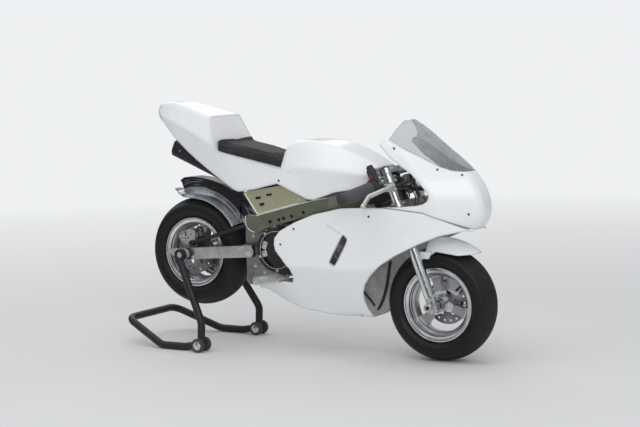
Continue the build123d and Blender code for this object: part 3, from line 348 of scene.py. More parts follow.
@dataclass(frozen=True)
class StreakedBlade:
    """Silvery blade with long dark stripes along its curve as painted reflections, and a dark outer band as
    painted reflection with light stripes as painted highlights.
    """

    centre: Place
    colour: Colour = (0.62, 0.64, 0.68)
    dark: Colour = (0.012, 0.012, 0.015)
    band: tuple[float, float] = (0.167, 0.173)

    def paint(self, graph: Graph) -> None:
        """Fills a material.

        Args:
            graph: The material's graph.
        """
        away = graph.off_axle(self.centre)
        inputs = {"X": away, "Y": graph.part("Y"), "Z": graph.times(graph.part("X"), 0.06)}
        lines = graph.noise(150.0, 3.0, 0.6, graph.node("CombineXYZ", 0, inputs))
        # Painted reflections: dark stripes along the curve, and a dark outer band whose lighter stripes are
        # painted highlights.
        reflected_streaks = graph.ranged(lines, 0.47, 0.6)
        breaks = graph.ranged(graph.noise(16.0, 2.0), 0.35, 0.6, 0.25, 0.95)
        light = graph.ranged(lines, 0.3, 0.42, 0.45, 1.0)
        outer = graph.times(graph.ranged(away, *self.band, 0.0, 0.97), light)
        share = graph.maths("MAXIMUM", graph.times(reflected_streaks, breaks), outer)
        graph.feed(Metallic=0.8, Coat_Weight=0.08, Coat_Roughness=0.1)
        graph.feed(Base_Color=graph.mixed(share, self.colour, self.dark))
        graph.feed(Roughness=graph.ranged(share, 0, 1, 0.24, 0.4))
        graph.bump(reflected_streaks, 0.0003, 0.3)


@dataclass(frozen=True)
class CastMetal:
    """Sand or die cast metal with a fine rough skin and dirt in it."""

    colour: Colour
    dirt: Colour
    roughness: float
    dirt_share: float

    def paint(self, graph: Graph) -> None:
        """Fills a material.

        Args:
            graph: The material's graph.
        """
        patches = graph.ranged(graph.noise(32.0, 5.0, 0.6), 0.45, 0.75, 0.0, self.dirt_share)
        rough = graph.ranged(patches, 0, 0.6, self.roughness, self.roughness + 0.2)
        graph.feed(Metallic=0.92, Base_Color=graph.mixed(patches, self.colour, self.dirt), Roughness=rough)
        graph.bump(graph.noise(900.0, 3.0, 0.7), 0.00018, 0.5)


@dataclass(frozen=True)
class TurnedWheel:
    """Bright wheel metal with turning rings about its axle, thin lines of painted shade along the rim's lips,
    and a web darkened as painted shade and reflection.
    """

    centre: Place
    colour: Colour = (0.8, 0.81, 0.83)
    shade: Colour = (0.52, 0.53, 0.55)
    roughness: float = 0.2
    shaded_grooves: tuple[float, ...] = (0.0885, 0.0795, 0.0715)

    def paint(self, graph: Graph) -> None:
        """Fills a material.

        Args:
            graph: The material's graph.
        """
        away = graph.off_axle(self.centre)
        rings = graph.node("TexNoise", 0, {"Scale": 1400.0, "W": away}, noise_dimensions="1D")
        tint = graph.mixed(graph.ranged(graph.noise(26.0, 4.0), 0.4, 0.75), self.colour, self.shade)
        # Painted shade: a thin dark line at each step of the rim's lips.
        for shaded_groove in self.shaded_grooves:
            near = graph.maths("ABSOLUTE", graph.maths("SUBTRACT", away, shaded_groove))
            tint = graph.mixed(graph.ranged(near, 0.0012, 0.0004, 0.0, 0.75), tint, (0.07, 0.07, 0.07))
        # Painted shade and reflection: the web between the hub and the rim is darkened.
        web = graph.times(graph.ranged(away, 0.03, 0.034), graph.ranged(away, 0.07, 0.066, 0.0, 0.6))
        rough = graph.ranged(rings, 0.3, 0.7, self.roughness, self.roughness + 0.12)
        graph.feed(Metallic=0.95, Base_Color=graph.mixed(web, tint, (0.12, 0.12, 0.125)), Roughness=rough)
        graph.bump(rings, 0.00006, 0.5)


@dataclass(frozen=True)
class TyreRubber:
    """Tyre with a dusty scrubbed tread and darker walls with moulded rings."""

    centre: Place
    radius: float
    colour: Colour = (0.008, 0.008, 0.009)
    scrubbed: Colour = (0.018, 0.018, 0.018)
    ring_step: float = 0.0042

    def paint(self, graph: Graph) -> None:
        """Fills a material.

        Args:
            graph: The material's graph.
        """
        away = graph.off_axle(self.centre)
        tread = graph.ranged(away, self.radius - 0.016, self.radius - 0.006)
        dusty = graph.times(tread, graph.ranged(graph.noise(45.0, 5.0), 0.3, 0.7, 0.35, 1.0))
        tint = graph.mixed(dusty, self.colour, self.scrubbed)
        graph.feed(IOR=1.36, Base_Color=tint, Roughness=graph.ranged(tread, 0, 1, 0.42, 0.7))
        rings = graph.maths("SINE", graph.times(away, 2 * pi / self.ring_step))
        wall = graph.times(graph.ranged(away, self.radius - 0.018, self.radius - 0.024), rings)
        graph.bump(graph.plus(graph.times(wall, 0.5), graph.noise(620.0, 4.0, 0.7)), 0.0003, 0.6)


@dataclass(frozen=True)
class Coating:
    """Paint, plastic or rubber: one colour with variation, grain and some wear."""

    colour: Colour
    worn: Colour
    roughness: float
    coat: float
    grain: float
    depth: float
    wear: float

    def paint(self, graph: Graph) -> None:
        """Fills a material.

        Args:
            graph: The material's graph.
        """
        scuffs = graph.ranged(graph.noise(38.0, 6.0, 0.65), 0.5, 0.78, 0.0, self.wear)
        rough = graph.ranged(scuffs, 0, 0.5, self.roughness, min(self.roughness + 0.25, 1.0))
        graph.feed(Coat_Weight=self.coat, Coat_Roughness=0.08, IOR=1.36, Roughness=rough)
        graph.feed(Base_Color=graph.mixed(scuffs, self.colour, self.worn))
        graph.bump(graph.noise(self.grain, 3.0, 0.6), self.depth, 0.5)


@dataclass(frozen=True)
class SmokedScreen:
    """Thin see-through screen with a grey tint and fine scratches."""

    colour: Colour = (0.62, 0.64, 0.66)
    roughness: float = 0.03

    def paint(self, graph: Graph) -> None:
        """Fills a material.

        Args:
            graph: The material's graph.
        """
        haze = graph.ranged(graph.noise(14.0, 5.0), 0.4, 0.8)
        tint = graph.mixed(haze, self.colour, tuple(c * 0.9 for c in self.colour))
        rough = graph.ranged(haze, 0, 1, self.roughness, self.roughness + 0.08)
        graph.feed(Transmission_Weight=0.93, IOR=1.12, Coat_Weight=0.4, Coat_Roughness=0.05)
        graph.feed(Base_Color=tint, Roughness=rough)
        graph.bump(graph.noise(1.0, 2.0, 0.5, graph.mapped((30, 700, 60))), 0.00001, 0.08)


@dataclass(frozen=True)
class GrainedCover:
    """Seat cover with a leather-like grain."""

    colour: Colour = (0.018, 0.018, 0.02)
    creased: Colour = (0.034, 0.034, 0.036)

    def paint(self, graph: Graph) -> None:
        """Fills a material.

        Args:
            graph: The material's graph.
        """
        pebbles = graph.node("TexVoronoi", "Distance", {"Scale": 520.0, "Vector": graph.coordinates})
        folds = graph.noise(60.0, 5.0, 0.6)
        tint = graph.mixed(graph.ranged(folds, 0.4, 0.8), self.colour, self.creased)
        graph.feed(IOR=1.36, Base_Color=tint, Roughness=graph.ranged(pebbles, 0.0, 0.8, 0.5, 0.68))
        graph.bump(graph.plus(pebbles, graph.times(folds, 0.6)), 0.0005, 0.55)


class Finish(Enum):
    """The finishes: each has a recipe, the slot of the pieces made with it and the CAD nodes that wear it."""

    BODYWORK = GlossShell(), "white_bodywork", "front_mudguard"
    # The cowl's inner side has painted shade behind X 0.42 m and below Z 0.465 m.
    COWL = GlossShell(
        inside=(0.6, 0.61, 0.62), middle=(0.36, 0, 0.44), spread=(1, 1, 1), shaded_corner=(0.42, 0.465),
    ), "", "upper_fairing"
    BELLY = GlossShell(inside=(0.56, 0.565, 0.57)), "", "lower_fairing_right lower_fairing_left"
    TAIL = GlossShell(edge=0.01), "", "seat_tank_unit"
    SCREEN = SmokedScreen(), "", "windscreen"
    COVER = GrainedCover(), "seat_foam", "seat_pad"
    FRONT_TYRE = TyreRubber(tuple(FRONT_AXLE * MM), 0.142), "", "front_tyre"
    REAR_TYRE = TyreRubber(tuple(REAR_AXLE * MM), 0.145), "", "rear_tyre"
    FRONT_WHEEL = TurnedWheel(tuple(FRONT_AXLE * MM)), "", "front_rim"
    REAR_WHEEL = TurnedWheel(tuple(REAR_AXLE * MM)), "", "rear_rim rear_sprocket"
    BLADE = StreakedBlade(tuple(REAR_AXLE * MM)), "", "rear_mudguard"
    PLATE_EDGE = Metal((0.92, 0.93, 0.9), (0.8, 0.8, 0.76), 0.55, (300, 300, 300)), "panel_plate"
    # The frame's olive tint is a painted reflection, and from X 0.17 m forward it darkens as painted shade.
    FRAME_PLATE = (
        Metal((0.27, 0.285, 0.22), (0.2, 0.21, 0.16), 0.34, (30, 800, 1400), shaded_from=0.17), "", "frame",
    )
    POLISHED_PLATE = (
        Metal((0.6, 0.61, 0.62), (0.44, 0.44, 0.44), 0.2, (20, 900, 1600)), "",
        "swingarm bottom_yoke top_yoke clip_ons lever_perches",
    )
    PANEL_PLATE = Metal((0.42, 0.405, 0.19), (0.3, 0.285, 0.11), 0.36, (30, 800, 1200)), "", "side_panels"
    DULL_DISC = (
        Metal((0.27, 0.27, 0.28), (0.13, 0.13, 0.13), 0.3, (300, 300, 300)), "",
        "front_brake_disc rear_brake_disc",
    )
    BRIGHT_STEEL = (
        Metal((0.6, 0.6, 0.59), (0.42, 0.41, 0.39), 0.3, (300, 300, 300)), "bright_steel",
        "front_sprocket chain rear_axle pivot_bolt exhaust_pipe steering_stem front_axle",
    )
    CHROME = (
        Metal((0.78, 0.79, 0.8), (0.68, 0.69, 0.7), 0.13, (120, 500, 120), 0.00002), "chrome_tube",
        "fork_leg_right fork_leg_left",
    )
    DARK_SCREW = Metal((0.2, 0.2, 0.21), (0.08, 0.08, 0.08), 0.36, (600, 600, 600)), "bright_steel"
    OILED_STEEL = Metal((0.34, 0.33, 0.31), (0.1, 0.09, 0.08), 0.32, (500, 500, 500)), "bright_steel"
    PITTED_PLATE = CastMetal((0.27, 0.27, 0.265), (0.1, 0.097, 0.09), 0.36, 0.8), "", "pivot_plates"
    CALIPER_CAST = CastMetal((0.6, 0.59, 0.53), (0.13, 0.125, 0.105), 0.3, 0.85), "", "rear_brake_caliper"
    PEG_CAST = CastMetal((0.56, 0.56, 0.55), (0.07, 0.07, 0.068), 0.28, 0.95), "", "footpegs"
    ENGINE_ALLOY = CastMetal((0.42, 0.42, 0.42), (0.12, 0.11, 0.1), 0.45, 0.6), "", "engine clutch_housing"
    BRIGHT_CAST = (
        CastMetal((0.68, 0.69, 0.7), (0.4, 0.4, 0.39), 0.33, 0.3), "cast_aluminium",
        "front_brake_caliper brake_levers",
    )
    BLACK_PAINT = (
        Coating((0.006, 0.006, 0.007), (0.03, 0.03, 0.03), 0.2, 0.2, 260.0, 0.00004, 0.12), "black_paint",
        "starter_housing fairing_bracket torque_rod silencer stand_frame",
    )
    BLACK_PLASTIC = (
        Coating((0.013, 0.013, 0.014), (0.055, 0.055, 0.055), 0.5, 0.0, 900.0, 0.00015, 0.3), "black_plastic",
        "kill_switch",
    )
    GRIP_RUBBER = (
        Coating((0.12, 0.122, 0.112), (0.17, 0.17, 0.16), 0.62, 0.0, 700.0, 0.0002, 0.4), "", "grips",
    )
    RED_BUTTON = (
        Coating((0.21, 0.02, 0.03), (0.16, 0.03, 0.03), 0.4, 0.2, 500.0, 0.00005, 0.3), "black_plastic",
    )
    ROLLER_RUBBER = (
        Coating((0.03, 0.03, 0.03), (0.14, 0.13, 0.12), 0.7, 0.0, 500.0, 0.0002, 0.6), "", "stand_rollers",
    )
    DUCT_MESH = (
        Coating((0.045, 0.045, 0.047), (0.3, 0.3, 0.3), 0.45, 0.0, 1100.0, 0.0006, 0.8), "black_plastic",
    )
    THREAD = Coating((0.09, 0.09, 0.1), (0.05, 0.05, 0.055), 0.7, 0.0, 2500.0, 0.00008, 0.5), "seat_foam"

    def __init__(self, recipe: object, slot: str, nodes: str = "") -> None:
        """Keeps the parts of a finish.

        Args:
            recipe: What paints its material.
            slot: Material slot of the pieces made with it, or nothing.
            nodes: Names of the CAD nodes that wear it.
        """
        self.recipe = recipe
        self.slot = slot
        self.nodes = nodes.split()

    def material(self) -> bpy.types.Material:
        """The finish's material, made once.

        Returns:
            The material.
        """
        name = self.name.lower()
        if name not in bpy.data.materials:
            self.recipe.paint(Graph(bpy.data.materials.new(name)))
        return bpy.data.materials[name]


# Common shape building

def side_name(side: float) -> str:
    """Name of a side of the bike."""
    return "left" if side > 0 else "right"


def in_plane(points: Iterable[Point], y: float) -> list[Vector]:
    """Points of a side view, as distance forward and height, put at a distance to the left."""
    return [Vector((x, y, z)) for x, z in points]


def mirrored(spot: Vector, side: float) -> Vector:
    """A place or direction given for the left side, taken to a side."""
    return Vector((spot.x, side * spot.y, spot.z))


def around(centre: Vector, angle: float, radius: float, y: float = 0.0) -> Vector:
    """Place at an angle in degrees and a radius round an axle, and at a distance to the left."""
    return centre + Vector((cos(radians(angle)) * radius, y, sin(radians(angle)) * radius))


def facing(place: Vector, direction: Vector) -> Matrix:
    """Matrix that puts a shape's +Z along a direction at a place in metres."""
    return Matrix.Translation(place) @ direction.to_track_quat("Z", "Y").to_matrix().to_4x4()


def edges_of(made: dict) -> set[bmesh.types.BMEdge]:
    """Edges of what a bmesh operator made."""
    return {edge for vert in made["verts"] for edge in vert.link_edges}


@lru_cache(maxsize=None)
def surface(node: str) -> BVHTree:
    """Makes a search tree over a CAD node's faces.

    Args:
        node: The node.

    Returns:
        The tree, in metres.
    """
    shape = bmesh.new()
    shape.from_mesh(frame["nodes"][node].data)
    tree = BVHTree.FromBMesh(shape)
    shape.free()
    return tree


def on_side(node: str, x: float, z: float, side: float) -> tuple[Vector, Vector]:
    """Finds a node's outer face as seen from one side.

    Args:
        node: The CAD node.
        x: Distance forward.
        z: Height.
        side: -1 for the bike's right, 1 for its left.

    Returns:
        The place and the face's normal there.
    """
    start = Vector((x, side * OUTSIDE, z)) * MM
    place, normal, _, _ = surface(node).ray_cast(start, ACROSS * -side)
    if place is None:
        raise ValueError(f"{node} has no face at x {x}, z {z}")
    return place / MM, normal


def new_object(name: str, data: bpy.types.ID) -> bpy.types.Object:
    """Makes an object in the scene.

    Args:
        name: The object's name.
        data: Its mesh, curve, camera or light.

    Returns:
        The object.
    """
    made = bpy.data.objects.new(name, data)
    bpy.context.scene.collection.objects.link(made)
    return made


def new_piece(name: str, data: bpy.types.ID, finish: Finish, body: Body) -> bpy.types.Object:
    """Makes a piece of the bike from its mesh or curve.

    Args:
        name: The piece's name.
        data: Its mesh or curve.
        finish: Its finish.
        body: The body it moves with.

    Returns:
        The piece.
    """
    data.materials.append(finish.material())
    piece = new_object(name, data)
    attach(piece, body.value)
    log.info("%s on %s", name, body.value)
    return piece


def add_wire(
    name: str, points: Sequence[Sequence[float]], radius: float, finish: Finish,
    body: Body = Body.CHASSIS, closed: bool = False,
) -> None:
    """Adds a round wire, hose or bead along a smooth route.

    Args:
        name: The piece's name.
        points: Control points of the route.
        radius: Its radius.
        finish: Its finish.
        body: The body it moves with.
        closed: Whether the route runs back to its start.
    """
    data = bpy.data.curves.new(name, "CURVE")
    data.dimensions = "3D"
    data.bevel_depth = radius * MM
    data.bevel_resolution = 3
    data.use_fill_caps = not closed
    line = data.splines.new("NURBS")
    line.points.add(len(points) - 1)
    for knot, point in zip(line.points, points):
        knot.co = (Vector(point) * MM).to_4d()
    line.order_u = 3
    line.use_endpoint_u = not closed
    line.use_cyclic_u = closed
    line.resolution_u = 8
    new_piece(name, data, finish, body)


@dataclass
class Parts:
    """Small shapes that make up one piece."""

    name: str
    finish: Finish
    body: Body = Body.CHASSIS
    shape: bmesh.types.BMesh = field(default_factory=bmesh.new)

    def round_off(self, edges: Iterable[bmesh.types.BMEdge], width: float, segments: int = 2) -> None:
        """Rounds edges off.

        Args:
            edges: The edges.
            width: Width of the rounding.
            segments: Faces across it.
        """
        bmesh.ops.bevel(
            self.shape, geom=list(edges), offset=width * MM, offset_type="OFFSET", segments=segments,
            profile=0.5, affect="EDGES", material=-1,
        )

    def drum(
        self, place: Vector, axis: Vector, radius: float, height: float, segments: int = 24,
        edge: float = 0.0,
    ) -> None:
        """Adds a round drum that starts at a place and grows along an axis.

        Args:
            place: Centre of its foot.
            axis: Its direction.
            radius: Its radius.
            height: Its height.
            segments: Sides of the circle.
            edge: Width of the rounding of its rims.
        """
        made = bmesh.ops.create_cone(
            self.shape, cap_ends=True, segments=segments, radius1=radius * MM, radius2=radius * MM,
            depth=height * MM, matrix=facing((place + axis.normalized() * height / 2) * MM, axis),
        )
        if edge:
            self.round_off((e for e in edges_of(made) if any(len(f.verts) > 4 for f in e.link_faces)), edge)

    def drums(self, start: Vector, axis: Vector, rows: Iterable[Drum]) -> None:
        """Adds drums along a line.

        Args:
            start: Start of the line.
            axis: Its direction, of length 1.
            rows: Each drum's distance along the line, radius, height, sides and rounding.
        """
        for along, radius, height, segments, edge in rows:
            self.drum(start + axis * along, axis, radius, height, segments, edge)

    def ring(self, place: Vector, axis: Vector, radius: float, thickness: float) -> None:
        """Adds a ring of round section.

        Args:
            place: Its centre.
            axis: The axis it runs round.
            radius: From the centre to the middle of the section.
            thickness: Radius of the section.
        """
        placed = facing(place * MM, axis)
        section = placed @ Matrix.Translation((radius * MM, 0, 0)) @ Matrix.Rotation(pi / 2, 4, "X")
        made = bmesh.ops.create_circle(self.shape, segments=8, radius=thickness * MM, matrix=section)
        bmesh.ops.spin(
            self.shape, geom=list(edges_of(made)), cent=place * MM, axis=placed.col[2].to_3d(), angle=2 * pi,
            steps=RING_STEPS, use_merge=True,
        )

    def block(
        self, centre: Vector, angle: float, size: Sequence[float], edge: float = 0.0, segments: int = 2,
    ) -> None:
        """Adds a block turned in the side view.

        Args:
            centre: Its middle.
            angle: Its turn, in radians.
            size: Its length, width and height.
            edge: Width of the rounding of its edges.
            segments: Faces across the rounding.
        """
        turned = Matrix.Translation(centre * MM) @ Matrix.Rotation(-angle, 4, "Y")
        matrix = turned @ Matrix.Diagonal((Vector(size) * MM).to_4d())
        made = bmesh.ops.create_cube(self.shape, size=1.0, matrix=matrix)
        if edge:
            self.round_off(edges_of(made), edge, segments)

    def plate(self, outline: Iterable[Point], start: float, end: float) -> None:
        """Adds a flat plate cut to an outline in the side view.

        Args:
            outline: Its corners, as distance forward and height.
            start: Y of one face.
            end: Y of the other face.
        """
        spots = in_plane(outline, start)
        corners = [bmesh.ops.create_vert(self.shape, co=spot * MM)["vert"][0] for spot in spots]
        face = self.shape.faces.new(corners)
        grown = bmesh.ops.extrude_face_region(self.shape, geom=[face], use_keep_orig=True)
        for vert in (v for v in grown["geom"] if isinstance(v, bmesh.types.BMVert)):
            vert.co.y = end * MM
        bmesh.ops.recalc_face_normals(self.shape, faces=list(self.shape.faces))

    def bolt(self, place: Vector, axis: Vector, size: float) -> None:
        """Adds a washer and a domed socket head.

        Args:
            place: Where it sits.
            axis: Outwards from the surface.
            size: Radius of the head.
        """
        out = axis.normalized()
        self.drum(place - out * size * 0.3, out, size * 1.45, size * 0.55, 20, size * 0.1)
        self.drum(place, out, size, size * 0.9, 16, size * 0.3)
        self.drum(place, out, size * 0.4, size * 1.02, 6)

    def done(self) -> bpy.types.Object:
        """Makes the piece, smooth shaded.

        Returns:
            The piece.
        """
        mesh = bpy.data.meshes.new(self.name)
        self.shape.to_mesh(mesh)
        self.shape.free()
        mesh.shade_smooth()
        mesh.set_sharp_from_angle(angle=SHARP_ANGLE)
        return new_piece(self.name, mesh, self.finish, self.body)


# Sub-assemblies

class NodeFinishes:
    """Dresses the CAD nodes that show as they are."""

    def build(self) -> None:
        """Puts each finish on its nodes."""
        for finish in Finish:
            for name in finish.nodes:
                mesh = frame["nodes"][name].data
                mesh.materials.clear()
                mesh.materials.append(finish.material())
                log.info("%s wears %s", name, finish.name)


@dataclass
class SeatCushion:
    """Foam seat under a sewn cover: swollen by a cloth simulation, then seamed and stitched. In metres."""

    voxel: float = 0.0045
    shrink: float = 0.002
    pressure: float = 4.0
    steps: int = 20
    cap: float = 0.005
    seam_inset: float = 0.011
    seam_depth: float = 0.0016
    seam_width: float = 0.0022
    front_width: float = 0.056
    widest: float = -0.194
    front_inset: float = 0.004
    rear_inset: float = 0.014
    held_below: float = -0.35
    top_above: float = 0.25
    stitch_step: float = 0.0062
    stitch_inset: float = 0.0034
    stitch_length: float = 0.0038
    stitch_radius: float = 0.00055

    @staticmethod
    def settle(piece: bpy.types.Object) -> None:
        """Applies what a piece's modifiers make of its mesh.

        Args:
            piece: The piece.
        """
        depsgraph = bpy.context.evaluated_depsgraph_get()
        mesh = bpy.data.meshes.new_from_object(piece.evaluated_get(depsgraph), depsgraph=depsgraph)
        piece.modifiers.clear()
        old = piece.data
        piece.data = mesh
        bpy.data.meshes.remove(old)

    def even(self) -> bpy.types.Object:
        """Copies the pad of the CAD model, a little smaller and with even faces.

        Returns:
            The evenly meshed pad.
        """
        mesh = frame["nodes"]["seat_pad"].data.copy()
        mesh.materials.clear()
        cushion = new_object("seat_cushion", mesh)
        remesh = cushion.modifiers.new("even", "REMESH")
        remesh.mode = "VOXEL"
        remesh.voxel_size = self.voxel
        self.settle(cushion)
        shape = bmesh.new()
        shape.from_mesh(cushion.data)
        shape.normal_update()
        bmesh.ops.smooth_vert(
            shape, verts=shape.verts, factor=0.5, use_axis_x=True, use_axis_y=True, use_axis_z=True,
        )
        shape.normal_update()
        for vert in shape.verts:
            if vert.normal.z > -0.4:
                vert.co -= vert.normal * self.shrink
        shape.to_mesh(cushion.data)
        shape.free()
        return cushion

    def swell(self, cushion: bpy.types.Object) -> None:
        """Swells the cover with cloth under pressure, its underside held on the pan.

        Args:
            cushion: The evenly meshed pad.
        """
        start = [vert.co.copy() for vert in cushion.data.vertices]
        held = cushion.vertex_groups.new(name="held")
        low = [v.index for v in cushion.data.vertices if v.normal.z < self.held_below]
        held.add(low, 1.0, "REPLACE")
        cloth = cushion.modifiers.new("swell", "CLOTH")
        cloth.settings.use_pressure = True
        cloth.settings.uniform_pressure_force = self.pressure
        cloth.settings.effector_weights.gravity = 0.0
        cloth.settings.vertex_group_mass = "held"
        cloth.settings.quality = 5
        cloth.point_cache.frame_start = 1
        cloth.point_cache.frame_end = self.steps
        for step in range(1, self.steps + 1):
            bpy.context.scene.frame_set(step)
        self.settle(cushion)
        bpy.context.scene.frame_set(1)
        for vert, origin in zip(cushion.data.vertices, start):
            move = vert.co - origin
            if move.length > self.cap:
                vert.co = origin + move.normalized() * self.cap

    def seam(self) -> list[tuple[Vector, Vector]]:
        """Lays the seam round the top panel, seen from above.

        Returns:
            Start and end of each straight run.
        """
        low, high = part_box("seat_pad")
        half = high[1] - self.seam_inset
        front = self.front_width - self.seam_inset
        rear = low[0] + self.seam_inset + self.rear_inset
        nose = high[0] - self.seam_inset - self.front_inset
        left = [(rear, half - self.front_inset), (self.widest, half), (nose, front)]
        route = [Vector((x, y, 0)) for x, y in left + [(x, -y) for x, y in reversed(left)]]
        return list(zip(route, route[1:] + route[:1]))

    @staticmethod
    def off_seam(point: Vector, seam: Sequence[tuple[Vector, Vector]]) -> float:
        """Measures how far a point is from the seam, both seen from above.

        Args:
            point: The point.
            seam: Start and end of the seam's runs.

        Returns:
            The shortest distance.
        """
        flat = Vector((point.x, point.y, 0))
        gaps = []
        for start, end in seam:
            run = end - start
            share = max(0.0, min(1.0, (flat - start).dot(run) / run.length_squared))
            gaps.append((start + run * share - flat).length)
        return min(gaps)

    def sew(self, cushion: bpy.types.Object) -> None:
        """Sinks the seam and lays its stitches.

        Args:
            cushion: The swollen cushion.
        """
        for _ in range(2):
            finer = cushion.modifiers.new("finer", "SUBSURF")
            finer.levels = finer.render_levels = 1
            self.settle(cushion)
        seam = self.seam()
        skin = bmesh.new()
        skin.from_mesh(cushion.data)
        skin.normal_update()
        for vert in skin.verts:
            if vert.normal.z > self.top_above:
                gap = self.off_seam(vert.co, seam)
                vert.co -= vert.normal * self.seam_depth * exp(-((gap / self.seam_width) ** 2))
        skin.normal_update()
        skin.to_mesh(cushion.data)
        cushion.data.shade_smooth()
        tree = BVHTree.FromBMesh(skin)
        skin.free()
        thread = Parts("seat_stitches", Finish.THREAD)
        for start, end in seam:
            run = end - start
            count = max(1, round(run.length / self.stitch_step))
            inward = run.normalized().cross(Vector((0, 0, 1))) * self.stitch_inset
            for index in range(count):
                spot = start + run * ((index + 0.5) / count) + inward
                place, normal, _, _ = tree.ray_cast(Vector((spot.x, spot.y, 1.0)), Vector((0, 0, -1)))
                if place is not None and normal.z >= 0.3:
                    along = (run.normalized() - normal * run.normalized().dot(normal)).normalized()
                    foot = place - along * self.stitch_length / 2 + normal * 0.0001
                    thread.drum(foot / MM, along, self.stitch_radius / MM, self.stitch_length / MM, 6)
        thread.done()

    def build(self) -> None:
        """Makes the cushion in place of the CAD pad."""
        cushion = self.even()
        self.swell(cushion)
        self.sew(cushion)
        cushion.data.materials.append(Finish.COVER.material())
        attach(cushion, Body.CHASSIS.value)
        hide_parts("seat_pad")
        log.info("seat_cushion on chassis")


@dataclass
class BodyDetails:
    """The bodywork's screws, vents and nose seam, and the hose and the brace inside the belly."""

    screws: tuple[tuple[str, float, float], ...] = (
        ("upper_fairing", 303, 530), ("upper_fairing", 408, 478), ("upper_fairing", 462, 464),
        ("upper_fairing", 482, 370), ("lower_fairing", 237, 363),
        ("lower_fairing", 20, 326), ("lower_fairing", -21, 285), ("seat_tank_unit", -30, 446),
    )
    vent: tuple[Point, ...] = ((164, 317), (177, 303), (140, 237), (124, 246))
    ridge: tuple[Point, ...] = ((118, 339), (130, 333.5), (143, 327), (157, 319.5))
    nose: tuple[Point, ...] = (
        (475.6, 464.4), (492.6, 440), (503.2, 418), (509.4, 396), (511.2, 376.4), (507.2, 357),
    )
    hose: tuple[Place, ...] = (
        (189.8, 98, 225.4), (191, 82.8, 193.6), (193.6, 65.4, 157.1), (187.3, 48.1, 120.3), (180, 41, 105.5),
    )
    brace: tuple[Place, ...] = ((108, 71, 167.5), (130, 61, 147.5), (160, 51, 125.5), (168, 47, 117.5))

    screw_size: float = 2.1
    ridge_radius: float = 1.6
    ridge_sink: float = 0.4
    hose_radius: float = 3.8
    brace_radius: float = 3.0
    nose_radius: float = 2.2
    rim_radius: float = 1.1
    rim_gap: float = 2.4
    mesh_depth: float = 6.0
    mesh_thickness: float = 1.5
    mesh_spread: float = 1.12

    def build(self) -> None:
        """Adds the bodywork's small parts, with the nose seam last."""
        screws = Parts("bodywork_screws", Finish.DARK_SCREW)
        for side in SIDES:
            end = f"_{side_name(side)}"
            for node, x, z in self.screws:
                name = node + end if node == "lower_fairing" else node
                screws.bolt(*on_side(name, x, z, side), self.screw_size)
            self.add_vent(side)
            ridge = [on_side("lower_fairing" + end, x, z, side) for x, z in self.ridge]
            bead = [place - normal * self.ridge_sink for place, normal in ridge]
            add_wire("vent_ridge" + end, bead, self.ridge_radius, Finish.BODYWORK)
            for name, route, radius, finish in (
                ("belly_hose", self.hose, self.hose_radius, Finish.BLACK_PLASTIC),
                ("belly_brace", self.brace, self.brace_radius, Finish.DARK_SCREW),
            ):
                add_wire(name + end, [(x, side * y, z) for x, y, z in route], radius, finish)
        screws.done()
        add_wire("nose_seam", in_plane(self.nose, 0), self.nose_radius, Finish.BODYWORK)

    def add_vent(self, side: float) -> None:
        """Runs a thin bead round a vent's opening, and puts mesh behind it.

        Args:
            side: -1 for the bike's right, 1 for its left.
        """
        corners = [Vector(corner) for corner in self.vent]
        centre = sum(corners, Vector((0, 0))) / len(corners)
        spots = []
        for start, end in zip(corners, corners[1:] + corners[:1]):
            for share in (0.12, 0.5, 0.88):
                spot = start.lerp(end, share)
                x, z = spot + (spot - centre).normalized() * self.rim_gap
                spots.append(on_side(f"lower_fairing_{side_name(side)}", x, z, side)[0])
        add_wire(f"vent_rim_{side_name(side)}", spots, self.rim_radius, Finish.BODYWORK, closed=True)
        depth = min(abs(spot.y) for spot in spots) - self.mesh_depth
        outline = [centre.lerp(corner, self.mesh_spread)[:] for corner in corners]
        mesh = Parts(f"vent_mesh_{side_name(side)}", Finish.DUCT_MESH)
        mesh.plate(outline, side * depth, side * (depth - self.mesh_thickness))
        mesh.done()


@dataclass
class WheelDetails:
    """Bearing seals, bolts and the valve of one wheel."""

    name: str
    axle: Vector
    body: Body
    hub_right: float
    hub_left: float
    bolt_side: float
    valve_angle: float
    web_faces: tuple[float, ...] = (-10.2, 10.2)
    bolt_circle: float = 16.8
    bolt_rise: float = 3.6
    bolt_size: float = 2.6
    web_circle: float = 64.0
    web_turn: float = -42.0
    web_bolt_size: float = 3.0
    seal_rise: float = 0.3
    seal_rings: tuple[Point, ...] = ((12.5, 1.6), (17.8, 1.0))
    valve_root: float = 71.5
    valve_drums: tuple[Drum, ...] = ((0, 4.2, 6, 16, 0.8), (5, 2.6, 14, 14, 0), (15, 3.4, 8, 12, 0.7))

    def build(self) -> None:
        """Adds the wheel's small parts."""
        seals = Parts(f"{self.name}_bearing_seals", Finish.BLACK_PLASTIC, self.body)
        for y, side in ((self.hub_right, -1.0), (self.hub_left, 1.0)):
            for radius, thickness in self.seal_rings:
                seals.ring(self.axle + ACROSS * (y + side * self.seal_rise), ACROSS * side, radius, thickness)
        seals.done()
        bolts = Parts(f"{self.name}_bolts", Finish.BRIGHT_STEEL, self.body)
        face = (self.hub_left if self.bolt_side > 0 else self.hub_right) + self.bolt_side * self.bolt_rise
        for angle in range(30, 390, 60):
            spot = around(self.axle, angle, self.bolt_circle, face)
            bolts.bolt(spot, ACROSS * self.bolt_side, self.bolt_size)
        for turn in range(3):
            for y in self.web_faces:
                angle = self.valve_angle + self.web_turn + 120 * turn
                bolts.bolt(around(self.axle, angle, self.web_circle, y), ACROSS * y, self.web_bolt_size)
        bolts.done()
        valve = Parts(f"{self.name}_valve", Finish.BLACK_PLASTIC, self.body)
        root = around(self.axle, self.valve_angle, self.valve_root)
        valve.drums(root, (self.axle - root).normalized(), self.valve_drums)
        valve.done()


